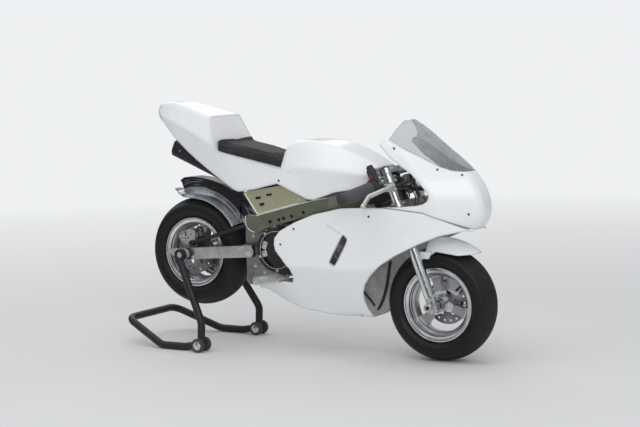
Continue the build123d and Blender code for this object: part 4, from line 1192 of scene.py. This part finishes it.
@dataclass
class SteeringDetails:
    """Fork caps, pinch bolts, seals, bar ends, the kill button, the wires and the front brake line."""

    spacing: float = 67.0
    length: float = 358.0
    offset: float = 22.0
    bar_drop: float = 32.0
    bar: Vector = field(default_factory=lambda: Vector((-42, -95, -26)).normalized())
    lever_pin: Vector = field(default_factory=lambda: Vector((300, 84, 438)))
    leg_seals: tuple[Drum, ...] = ((357, 11.2, 3.5, 28, 0.8), (153, 13.9, 7.5, 32, 1.2))
    leg_caps: tuple[Drum, ...] = ((359.5, 6.8, 4.2, 6, 0.4), (160.5, 12.7, 2, 32, 0.5))
    stem_caps: tuple[Drum, ...] = ((-1, 14.2, 1.2, 32, 0.3), (0, 12.2, 3, 6, 0.5))
    pinch_bolts: tuple[Point, ...] = ((262, 18.6), (350, 18.6), (24, 12.9))
    pinch_size: float = 3.2
    foot_bolts: tuple[Point, ...] = ((16.5, 4.4), (-10.5, 4.0))
    foot_out: float = 13.1
    axle_end: float = 87.0
    grip_drums: tuple[Drum, ...] = (
        (27.4, 19.6, 6.2, 40, 2.2), (33.4, 16.3, 4, 36, 1.2), (122.5, 15.6, 11.8, 36, 3.4),
        (133.5, 6.6, 2.2, 20, 0.7),
    )
    clamp_drift: float = 5.0
    clamp_ahead: float = 17.8
    lever_axis: Vector = field(default_factory=lambda: Vector((-0.549, -0.036, 0.835)).normalized())
    lever_drums: tuple[Drum, ...] = ((-9.8, 3.6, 19.6, 20, 0.5), (-11.8, 5, 3, 6, 0.4))
    lever_bolt: float = 8.5
    bolt_size: float = 2.8
    fittings: tuple[tuple[float, float, float], ...] = ((19, 4, 5.2), (24, -7, 4.2), (16, 14, 3.4))
    button: Point = (9.5, 24)
    button_size: float = 6.4
    wire_radius: float = 1.6
    line_radius: float = 2.4
    clips: tuple[float, ...] = (200, 120)
    wires: tuple[tuple[Place, ...], ...] = (
        ((256, -86, 447), (282, -72, 462), (306, -44, 456), (313, -28, 424), (306, -26, 392)),
        ((251.5, -88.5, 428), (280, -66, 436), (315, -46, 436), (322, -36, 410), (309, -34, 391)),
        ((262, -88, 436), (300, -82, 430), (334, -66, 432), (346, -50, 412), (330, -34, 388)),
        ((296, -72, 462), (322, -58, 455), (344, -52, 436), (350, -44, 404), (336, -30, 380)),
    )

    def leg(self, side: float, up: float, ahead: float = 0.0, out: float = 0.0) -> Vector:
        """Place by a fork leg.

        Args:
            side: -1 for the right leg, 1 for the left.
            up: Distance up the leg from its lowest point.
            ahead: Distance in front of its middle line.
            out: Distance outward from its middle line.

        Returns:
            The place.
        """
        across = ACROSS * side * (self.spacing + out)
        return STEER_FOOT - FORK_BACK * (self.offset + ahead) + FORK_UP * up + across

    def bar_line(self, side: float) -> tuple[Vector, Vector]:
        """Start and direction of a handlebar."""
        start = self.leg(side, self.length - self.bar_drop, -self.offset)
        return start, mirrored(self.bar, -side)

    def build(self) -> None:
        """Adds the steering's small parts."""
        bright = Parts("steering_bolts", Finish.BRIGHT_STEEL, Body.STEERING)
        dark = Parts("steering_seals", Finish.BLACK_PLASTIC, Body.STEERING)
        rubber = Parts("bar_ends", Finish.BLACK_PLASTIC, Body.STEERING)
        for side in SIDES:
            out = ACROSS * side
            dark.drums(self.leg(side, 0), FORK_UP, self.leg_seals)
            bright.drums(self.leg(side, 0), FORK_UP, self.leg_caps)
            for up, ahead in self.pinch_bolts:
                bright.bolt(self.leg(side, up, ahead), -FORK_BACK, self.pinch_size)
            for up, size in self.foot_bolts:
                bright.bolt(self.leg(side, up, 0, self.foot_out), out, size)
            bright.ring(FRONT_AXLE + out * self.axle_end, out, 8.4, 1.6)
            dark.ring(FRONT_AXLE + out * (self.axle_end + 0.2), out, 4.5, 0.7)
            self.grip_parts(side, rubber)
            self.lever_parts(side, bright, dark)
        bright.drums(STEER_FOOT + FORK_UP * self.length, FORK_UP, self.stem_caps)
        for parts in (bright, dark, rubber):
            parts.done()
        self.switch_parts()
        self.brake_line()

    def grip_parts(self, side: float, rubber: Parts) -> None:
        """Adds the flange and the end cap of one grip.

        Args:
            side: -1 for the right grip, 1 for the left.
            rubber: What they join.
        """
        start, along = self.bar_line(side)
        rubber.drums(start, along, self.grip_drums)
        rubber.ring(start + along * 119, along, 15.2, 0.6)

    def lever_parts(self, side: float, bright: Parts, dark: Parts) -> None:
        """Adds the clamp bolts, the lever's pin and the master cylinder's fittings of one side.

        Args:
            side: -1 for the right side, 1 for the left.
            bright: What the bright parts join.
            dark: What the dark parts join.
        """
        start, along = self.bar_line(side)
        for drift in (-self.clamp_drift, self.clamp_drift):
            spot = self.leg(side, self.length - self.bar_drop + drift, self.clamp_ahead)
            bright.bolt(spot, -FORK_BACK, self.bolt_size)
        pin, axis = mirrored(self.lever_pin, side), mirrored(self.lever_axis, side)
        bright.drums(pin, axis, self.lever_drums)
        bright.bolt(pin + axis * self.lever_bolt, axis, 3.6)
        bright.bolt(start + along * 10 + FORK_UP * 13.2, FORK_UP, self.bolt_size)
        for ahead, rise, size in self.fittings:
            spot = start + along * 6 - FORK_BACK * ahead + FORK_UP * rise
            bright.drum(spot, along, size, 16, 20, 1.2)
            dark.drum(spot - along * 6, along, size * 0.72, 7, 16, 0.6)
        knob, aim = Vector((6, -4, 1)), Vector((0.5, -0.85, 0.12))
        dark.drum(pin + mirrored(knob, side), mirrored(aim, side), 4.2, 12, 16, 0.8)

    def switch_parts(self) -> None:
        """Adds the red button, the caps and the wires of the kill switch."""
        start, along = self.bar_line(-1.0)
        face = start + along * 27.5
        level = (-FORK_BACK + along * FORK_BACK.dot(along)).normalized()
        rise = along.cross(level)
        button = face + level * self.button[0] + rise * self.button[1]
        red = Parts("kill_button", Finish.RED_BUTTON, Body.STEERING)
        red.drum(button, along, self.button_size, 4.2, 28, 1.2)
        red.done()
        cap = Parts("kill_switch_cap", Finish.BLACK_PLASTIC, Body.STEERING)
        cap.drum(button - along * 0.4, along, 9.2, 2.2, 28, 0.6)
        cap.drum(face - along * 6 + level * 8 + rise * 47.5, rise, 6.6, 5.5, 24, 1.6)
        cap.drum(face + rise * 38 - along * 0.3, along, 2.8, 1.4, 16, 0.4)
        cap.drum(face - along * 13, along, 14.8, 14.2, 32, 1.0)
        cap.done()
        for index, route in enumerate(self.wires):
            add_wire(f"switch_wire_{index}", route, self.wire_radius, Finish.BLACK_PLASTIC, Body.STEERING)

    def brake_line(self) -> None:
        """Lays the front brake's line from its lever, over the lower yoke and down the left fork leg."""
        route = [
            Vector((304, -78, 440)), Vector((318, -58, 446)), Vector((336, -20, 452)), Vector((338, 18, 447)),
            self.leg(1, 300, 36, -22), self.leg(1, 262, 26, -6), self.leg(1, 200, 18.5, -2),
            self.leg(1, 120, 18.5, -2), self.leg(1, 75, 21, -4), Vector((404.5, 50, 213)),
            Vector((403, 45, 199)),
        ]
        add_wire("front_brake_line", route, self.line_radius, Finish.BLACK_PLASTIC, Body.STEERING)
        clips = Parts("brake_line_clips", Finish.BLACK_PLASTIC, Body.STEERING)
        for up in self.clips:
            clips.ring(self.leg(1, up), FORK_UP, 14.2, 1.1)
            clips.drum(self.leg(1, up - 3, 18.5, -2), FORK_UP, 3.6, 6, 16, 0.8)
        clips.done()


@dataclass
class DriveDetails:
    """The starter's fan, the chain, the footpegs' knurling, and the bolts and lips of frame and arm."""

    crank: Vector = field(default_factory=lambda: Vector((-42, 0, 268)))
    pivot: Vector = field(default_factory=lambda: Vector((-122, 0, 262)))
    links: int = 108
    big: float = 74.6
    small: float = 20.6
    chain_y: float = 63.5
    peg_root: Vector = field(default_factory=lambda: Vector((-33, 57, 199)))
    peg_tip: Vector = field(default_factory=lambda: Vector((-66, 148, 196)))
    both_sides: tuple[tuple[str, float, float, float], ...] = (
        ("swingarm", -150, 250, 3.2), ("swingarm", -150, 270, 3.2), ("swingarm", -352, 258, 3.0),
        ("swingarm", -300, 240, 3.0), ("side_panels", -128, 403, 2.2), ("side_panels", -98, 368, 2.2),
        ("side_panels", 22, 398, 2.2), ("side_panels", -36, 424, 2.2),
    )
    right_side: tuple[tuple[str, float, float, float], ...] = (
        ("pivot_plates", -128, 300, 3.6), ("pivot_plates", -125, 222, 3.6), ("pivot_plates", -96, 206, 3.6),
        ("pivot_plates", -62, 190, 3.6), ("rear_brake_caliper", -349, 292, 3.8),
        ("rear_brake_caliper", -331, 304, 3.8),
    )
    front_caliper: tuple[Point, ...] = ((396, 192), (414, 184))
    front_size: float = 3.6
    pivot_nuts: tuple[Drum, ...] = ((90.2, 13.5, 1.8, 32, 0.4), (91.5, 10.8, 5.8, 6, 0.7))
    axle_nuts: tuple[Drum, ...] = ((90.2, 14.8, 1.8, 32, 0.4), (91.5, 12.2, 6.2, 6, 0.7))
    adjuster: Point = (-377, 81)
    adjuster_drums: tuple[Drum, ...] = ((0, 3.2, 9.5, 14, 0.5), (0.5, 5.6, 4, 6, 0.4))
    fan_drums: tuple[Drum, ...] = ((77.2, 47.2, 1.6, 64, 0.5), (86.2, 13.8, 1.6, 36, 0.5))
    ribs: int = 14
    rib_circle: float = 31.5
    rib_out: float = 81.4
    rib_size: tuple[float, float, float] = (29, 6.2, 2.8)
    lugs: tuple[Point, ...] = ((163, 21), (196, 17))
    lug_circle: float = 38.0
    lug_out: float = 81.5
    starter_bolts: int = 5
    starter_circle: float = 52.4
    starter_out: float = 86.2
    pin_size: Point = (1.2, 8.6)
    roller_size: Point = (2.6, 4.8)
    plate_gaps: Point = (2.6, 3.6)
    plate_thickness: float = 0.9
    plate_height: float = 4.8
    plate_end: float = 3.5
    peg_tip_drums: tuple[Drum, ...] = ((-1, 11.8, 4, 28, 1.2),)
    peg_root_drums: tuple[Drum, ...] = ((0, 12.5, 5, 28, 1.0),)
    knurls: int = 14
    knurl_start: float = 0.16
    knurl_step: float = 0.058
    holes: tuple[tuple[float, float, float], ...] = (
        (-353, 287, 2.6), (-343, 285.5, 2.2), (-333, 287, 2.6), (-341, 294.5, 3.0), (-356, 297, 2.2),
        (-325, 296, 2.2), (-343, 301, 2.8),
    )
    beads: tuple[tuple[str, float, float, tuple[Point, ...]], ...] = (
        ("panel_lip", 72.8, 1.8, (
            (-142.6, 411.5), (-120, 379.5), (-104.5, 357.4), (-99, 358.2), (-40, 373.2), (18, 388))),
        ("beam_edge", 75.2, 1.2, ((-106, 353.5), (-44, 369.6), (20, 386.3), (71, 398), (106, 404.6))),
        ("beam_lip", 74.6, 1.4, ((-140, 352), (-141.6, 340), (-138, 326), (-126, 312.5), (-112, 310.5))),
    )
    web: tuple[Point, ...] = (
        (-353, 435.5), (-343, 435.5), (-307, 432), (-278, 427), (-247, 417), (-216, 401), (-191, 375),
        (-190, 336), (-205, 349.9), (-222, 367.1), (-240, 380.6), (-260, 391.6), (-280, 399.2),
        (-300, 403.9), (-317.7, 405.6), (-353, 407.4),
    )
    web_faces: Point = (22.2, 23.6)
    slot_back: tuple[Point, ...] = ((-113, 374), (-40, 392), (-40, 436), (-136, 420))
    slot_faces: Point = (64, 65.2)

    def starter(self) -> None:
        """Fills the starter's recess with a ribbed fan, and adds its lugs and screws."""
        out = -ACROSS
        fan = Parts("starter_fan", Finish.BLACK_PAINT)
        fan.drums(self.crank, out, self.fan_drums)
        for turn in range(self.ribs):
            angle = 360 * turn / self.ribs
            spot = around(self.crank, angle, self.rib_circle, -self.rib_out)
            fan.block(spot, radians(angle), self.rib_size, 0.6)
        fan.bolt(self.crank + out * 87.6, out, 4.2)
        fan.done()
        screws = Parts("starter_screws", Finish.BRIGHT_STEEL)
        for angle, wide in self.lugs:
            spot = around(self.crank, angle, self.lug_circle, -self.lug_out)
            screws.block(spot, radians(angle), (15, 8, wide), 2.4, 3)
        for turn in range(self.starter_bolts):
            angle = 200 + 360 * turn / self.starter_bolts
            screws.bolt(around(self.crank, angle, self.starter_circle, -self.starter_out), out, 2.6)
        screws.ring(self.crank + out * 86.3, out, 48.2, 0.8)
        screws.done()

    def chain_spot(self, share: float) -> Vector:
        """Finds a point of the chain's loop.

        Args:
            share: Share of the loop's length, from 0 to 1.

        Returns:
            The point.
        """
        reach = self.crank.xz - REAR_AXLE.xz
        turn = reach.angle_signed(Vector((1, 0)))
        lean = acos((self.big - self.small) / reach.length)
        run = reach.length * sin(lean)
        round_big = self.big * 2 * (pi - lean)
        round_small = self.small * 2 * lean
        way = share * (round_big + round_small + 2 * run)
        centre, radius, slide, angle = REAR_AXLE, self.big, 0.0, turn + lean
        if way < round_big:
            angle += way / self.big
        elif way < round_big + run:
            slide, angle = way - round_big, turn - lean
        else:
            centre, radius = self.crank, self.small
            beyond = way - round_big - run
            if beyond < round_small:
                angle = turn - lean + beyond / self.small
            else:
                slide = beyond - round_small
        ahead = radius * cos(angle) - slide * sin(angle)
        return centre + Vector((ahead, self.chain_y, radius * sin(angle) + slide * cos(angle)))

    def chain(self) -> None:
        """Lays the chain's plates and rollers along its loop."""
        plates = Parts("chain_plates", Finish.OILED_STEEL)
        rollers = Parts("chain_rollers", Finish.BRIGHT_STEEL)
        for link in range(self.links):
            start = self.chain_spot(link / self.links)
            end = self.chain_spot((link + 1) / self.links % 1.0)
            run = end - start
            for (radius, length), sides in ((self.pin_size, 8), (self.roller_size, 10)):
                rollers.drum(start - ACROSS * length / 2, ACROSS, radius, length, sides)
            width = self.plate_gaps[link % 2]
            size = (run.length, self.plate_thickness, self.plate_height)
            for y in (-width, width):
                middle = (start + end) / 2 + ACROSS * y
                plates.block(middle, run.xz.angle_signed(Vector((1, 0))), size)
                for spot in (start, end):
                    foot = spot + ACROSS * (y - self.plate_thickness / 2)
                    plates.drum(foot, ACROSS, self.plate_end, self.plate_thickness, 10)
        links = plates.done()
        rollers.done()
        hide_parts("chain")

    def pegs(self) -> None:
        """Knurls the footpegs and caps their ends."""
        rings, caps = Parts("peg_knurling", Finish.BRIGHT_CAST), Parts("peg_ends", Finish.BRIGHT_STEEL)
        for side in SIDES:
            root, tip = mirrored(self.peg_root, side), mirrored(self.peg_tip, side)
            along = (tip - root).normalized()
            for index in range(self.knurls):
                share = self.knurl_start + self.knurl_step * index
                rings.drum(root.lerp(tip, share), along, 11.2, 3.2, 20, 0.9)
            caps.drums(tip, along, self.peg_tip_drums)
            caps.bolt(tip + along * 2, along, 3.0)
            caps.drums(root, along, self.peg_root_drums)
        rings.done()
        caps.done()

    def bolts(self) -> None:
        """Bolts of the pivot, the arm, the plates, the calipers and the beams, and dark discs painted as the
        shade in the caliper's holes.
        """
        bolts = Parts("frame_bolts", Finish.BRIGHT_STEEL)
        for side in SIDES:
            out = ACROSS * side
            bolts.drums(self.pivot, out, self.pivot_nuts)
            bolts.drums(REAR_AXLE, out, self.axle_nuts)
            x, y = self.adjuster
            bolts.drums(Vector((x, side * y, REAR_AXLE.z)), Vector((-1, 0, 0)), self.adjuster_drums)
            for node, x, z, size in self.both_sides:
                bolts.bolt(*on_side(node, x, z, side), size)
        for node, x, z, size in self.right_side:
            bolts.bolt(*on_side(node, x, z, -1.0), size)
        bolts.done()
        front = Parts("front_caliper_bolts", Finish.BRIGHT_STEEL, Body.STEERING)
        for x, z in self.front_caliper:
            front.bolt(*on_side("front_brake_caliper", x, z, 1.0), self.front_size)
        front.done()
        # Painted shade: black discs on the caliper's face stand for the dark inside of its holes.
        holes = Parts("caliper_hole_shades", Finish.BLACK_PLASTIC)
        for x, z, size in self.holes:
            place, normal = on_side("rear_brake_caliper", x, z, -1.0)
            holes.drum(place - normal * 0.4, normal, size, 0.7, 20)
        holes.done()

    def panel_beads(self) -> None:
        """Runs a bright lip along each side panel and along the edges of each beam."""
        for side in SIDES:
            for name, y, radius, route in self.beads:
                add_wire(f"{name}_{side_name(side)}", in_plane(route, side * y), radius, Finish.PLATE_EDGE)

    def webs(self) -> None:
        """Closes the gap between the rear mudguard's blade and its channel, and backs the panels' slots."""
        webs, backs = Parts("mudguard_webs", Finish.BLADE), Parts("slot_backs", Finish.BLACK_PLASTIC)
        for side in SIDES:
            webs.plate(self.web, *(side * face for face in self.web_faces))
            backs.plate(self.slot_back, *(side * face for face in self.slot_faces))
        webs.done()
        backs.done()

    def build(self) -> None:
        """Adds all of the drive's and the frame's small parts."""
        self.webs()
        self.starter()
        self.chain()
        self.pegs()
        self.bolts()
        self.panel_beads()


@dataclass
class StandDetails:
    """Hubs and bolts of the stand's rollers, and the welds of its tubes."""

    foot: Vector = field(default_factory=lambda: Vector((-247, 140, 18.3)))
    bend: Vector = field(default_factory=lambda: Vector((-4, 109.5, -15.5)))
    bend_run: Vector = field(default_factory=lambda: Vector((0.42, 0.16, -0.9)))
    half_roller: float = 19.6
    hub_drums: tuple[Drum, ...] = ((-0.6, 11.2, 1.3, 36, 0.4), (0, 6.2, 3.6, 6, 0.5), (3, 3.2, 3, 16, 0.6))

    def build(self) -> None:
        """Adds the stand's small parts."""
        hubs, welds = Parts("roller_hubs", Finish.CHROME), Parts("stand_welds", Finish.BLACK_PAINT)
        for side in SIDES:
            foot = mirrored(self.foot, side)
            for out in (ACROSS * side, ACROSS * -side):
                spot = foot + out * self.half_roller
                hubs.drums(spot, out, self.hub_drums)
                hubs.ring(spot + out * 0.6, out, 10.8, 0.8)
            welds.ring(foot + Vector((0, 0, 10.5)), Vector((0.05, 0, 1)), 9.8, 2.2)
            bend, run = mirrored(self.bend, side), mirrored(self.bend_run, side)
            welds.ring(REAR_AXLE + bend, run, 9.6, 2.2)
            welds.ring(REAR_AXLE + ACROSS * side * 114.8, ACROSS * side, 12.8, 1.6)
        hubs.done()
        welds.done()


@dataclass
class ExhaustDetails:
    """End ring, outlet and rivets of the silencer."""

    rear: Vector = field(default_factory=lambda: Vector((-386, -18, 529)))
    angle: float = radians(22.7)
    rivets: tuple[float, ...] = (30, 87, 144)
    rivet_size: float = 2.2

    def build(self) -> None:
        """Adds the silencer's small parts."""
        axis = Vector((-cos(self.angle), 0, sin(self.angle)))
        outlet = Parts("silencer_outlet", Finish.BLACK_PAINT)
        outlet.ring(self.rear + axis * 0.4, axis, 12.5, 1.8)
        outlet.drum(self.rear - axis * 2, axis, 11.2, 2.8, 32, 0.4)
        outlet.done()
        rivets = Parts("silencer_rivets", Finish.BRIGHT_STEEL)
        for side in SIDES:
            for ahead in self.rivets:
                spot = self.rear - axis * ahead
                place, normal = on_side("silencer", spot.x, spot.z, side)
                rivets.drum(place - normal * 0.4, normal, self.rivet_size, 1.2, 14, 0.4)
        rivets.done()


@dataclass
class Studio:
    """Floor, light and the camera at the photograph's angle. In metres."""

    place: Vector = field(default_factory=lambda: Vector((2.08685, -3.47732, 0.75154)))
    azimuth: float = radians(30.48)
    pitch: float = radians(5.6)
    roll: float = radians(-1.54)
    lens: float = 88.72
    sensor: float = 36.0
    floor_colour: Colour = (0.72, 0.725, 0.73)
    background: Colour = (0.86, 0.875, 0.89)
    world_light: float = 0.68
    floor_size: float = 60.0
    card_radius: float = 4.2
    card_height: float = 1.5
    fade: tuple[float, float] = (1.1, 4.5)
    lamps: tuple[tuple[str, Place, float, float], ...] = (
        ("top", (-0.2, -0.9, 3.4), 3.4, 34.0),
        ("front_right", (2.8, -3.6, 2.2), 2.6, 62.0),
        ("rear_left", (-2.2, 2.6, 2.4), 2.4, 20.0),
    )

    def camera(self) -> None:
        """Places the camera."""
        data = bpy.data.cameras.new("camera")
        data.lens = self.lens
        data.sensor_width = self.sensor
        flat = cos(self.pitch)
        look = Vector((-sin(self.azimuth) * flat, cos(self.azimuth) * flat, -sin(self.pitch)))
        right = Vector((cos(self.azimuth), sin(self.azimuth), 0))
        up = right.cross(look)
        level = right * cos(self.roll) + up * sin(self.roll)
        upright = up * cos(self.roll) - right * sin(self.roll)
        camera = new_object("camera", data)
        turn = Matrix((level, upright, -look)).transposed().to_4x4()
        camera.matrix_world = Matrix.Translation(self.place) @ turn
        bpy.context.scene.camera = camera

    @staticmethod
    def prop(name: str, shape: bmesh.types.BMesh) -> tuple[bpy.types.Object, Graph]:
        """Makes a part of the stage.

        Args:
            name: Its name.
            shape: Its shape, which is freed.

        Returns:
            The object, and the graph of its new material.
        """
        mesh = bpy.data.meshes.new(name)
        shape.to_mesh(mesh)
        shape.free()
        graph = Graph(bpy.data.materials.new(name))
        mesh.materials.append(graph.owner)
        made = new_object(name, mesh)
        return made, graph

    def floor(self) -> None:
        """Lays a wide pale floor that fades into the white background."""
        shape = bmesh.new()
        bmesh.ops.create_grid(shape, x_segments=1, y_segments=1, size=self.floor_size)
        _, graph = self.prop("floor", shape)
        pale = self.floor_colour
        tint = graph.mixed(graph.noise(3.0, 4.0), pale, tuple(c * 0.97 for c in pale))
        graph.feed(Roughness=0.85, Specular_IOR_Level=0.2, Base_Color=tint)
        fade = graph.ranged(graph.length(graph.coordinates), *self.fade)
        glow = graph.node("Emission", 0, {"Color": self.background})
        inputs = {0: graph.times(fade, graph.seen()), 1: graph.shader.outputs[0], 2: glow}
        graph.give(graph.tree.nodes["Material Output"].inputs["Surface"], graph.node("MixShader", 0, inputs))

    def cards(self) -> None:
        """Stands dark cards round the bike that only reflections see, as a road and trees would be."""
        shape = bmesh.new()
        made = bmesh.ops.create_circle(shape, segments=48, radius=self.card_radius)
        grown = bmesh.ops.extrude_edge_only(shape, edges=list(edges_of(made)))
        for vert in (v for v in grown["geom"] if isinstance(v, bmesh.types.BMVert)):
            vert.co.z += self.card_height
        card, graph = self.prop("dark_cards", shape)
        tint = graph.mixed(graph.noise(1.5, 3.0), (0.03, 0.035, 0.035), (0.12, 0.12, 0.1))
        graph.feed(Roughness=0.9, Base_Color=tint)
        card.visible_camera = card.visible_diffuse = card.visible_transmission = card.visible_shadow = False

    def lights(self) -> None:
        """Soft light from above and from the right front, with a pale world."""
        for name, place, size, power in self.lamps:
            data = bpy.data.lights.new(name, "AREA")
            data.size = size
            data.energy = power
            lamp = new_object(name, data)
            lamp.matrix_world = facing(Vector(place), Vector(place) - Vector((0, 0, 0.3)))
        graph = Graph(bpy.data.worlds.new("world"))
        graph.feed(Color=self.background, Strength=graph.ranged(graph.seen(), 0, 1, self.world_light, 1.0))
        bpy.context.scene.world = graph.owner
        bpy.context.scene.view_settings.view_transform = "Standard"

    def build(self) -> None:
        """Sets the whole stage."""
        self.camera()
        self.floor()
        self.cards()
        self.lights()


def main() -> None:
    """Builds the bike's pieces in order, then the stage."""
    logging.basicConfig(level=logging.INFO, format="%(name)s: %(message)s")
    NodeFinishes().build()
    SeatCushion().build()
    BodyDetails().build()
    WheelDetails("front_wheel", FRONT_AXLE, Body.FRONT_WHEEL, -34.0, 24.0, 1.0, 42.0, (-10.2,)).build()
    WheelDetails("rear_wheel", REAR_AXLE, Body.REAR_WHEEL, -30.0, 61.5, -1.0, 140.0).build()
    SteeringDetails().build()
    DriveDetails().build()
    StandDetails().build()
    ExhaustDetails().build()
    Studio().build()


if __name__ == "__main__":
    main()
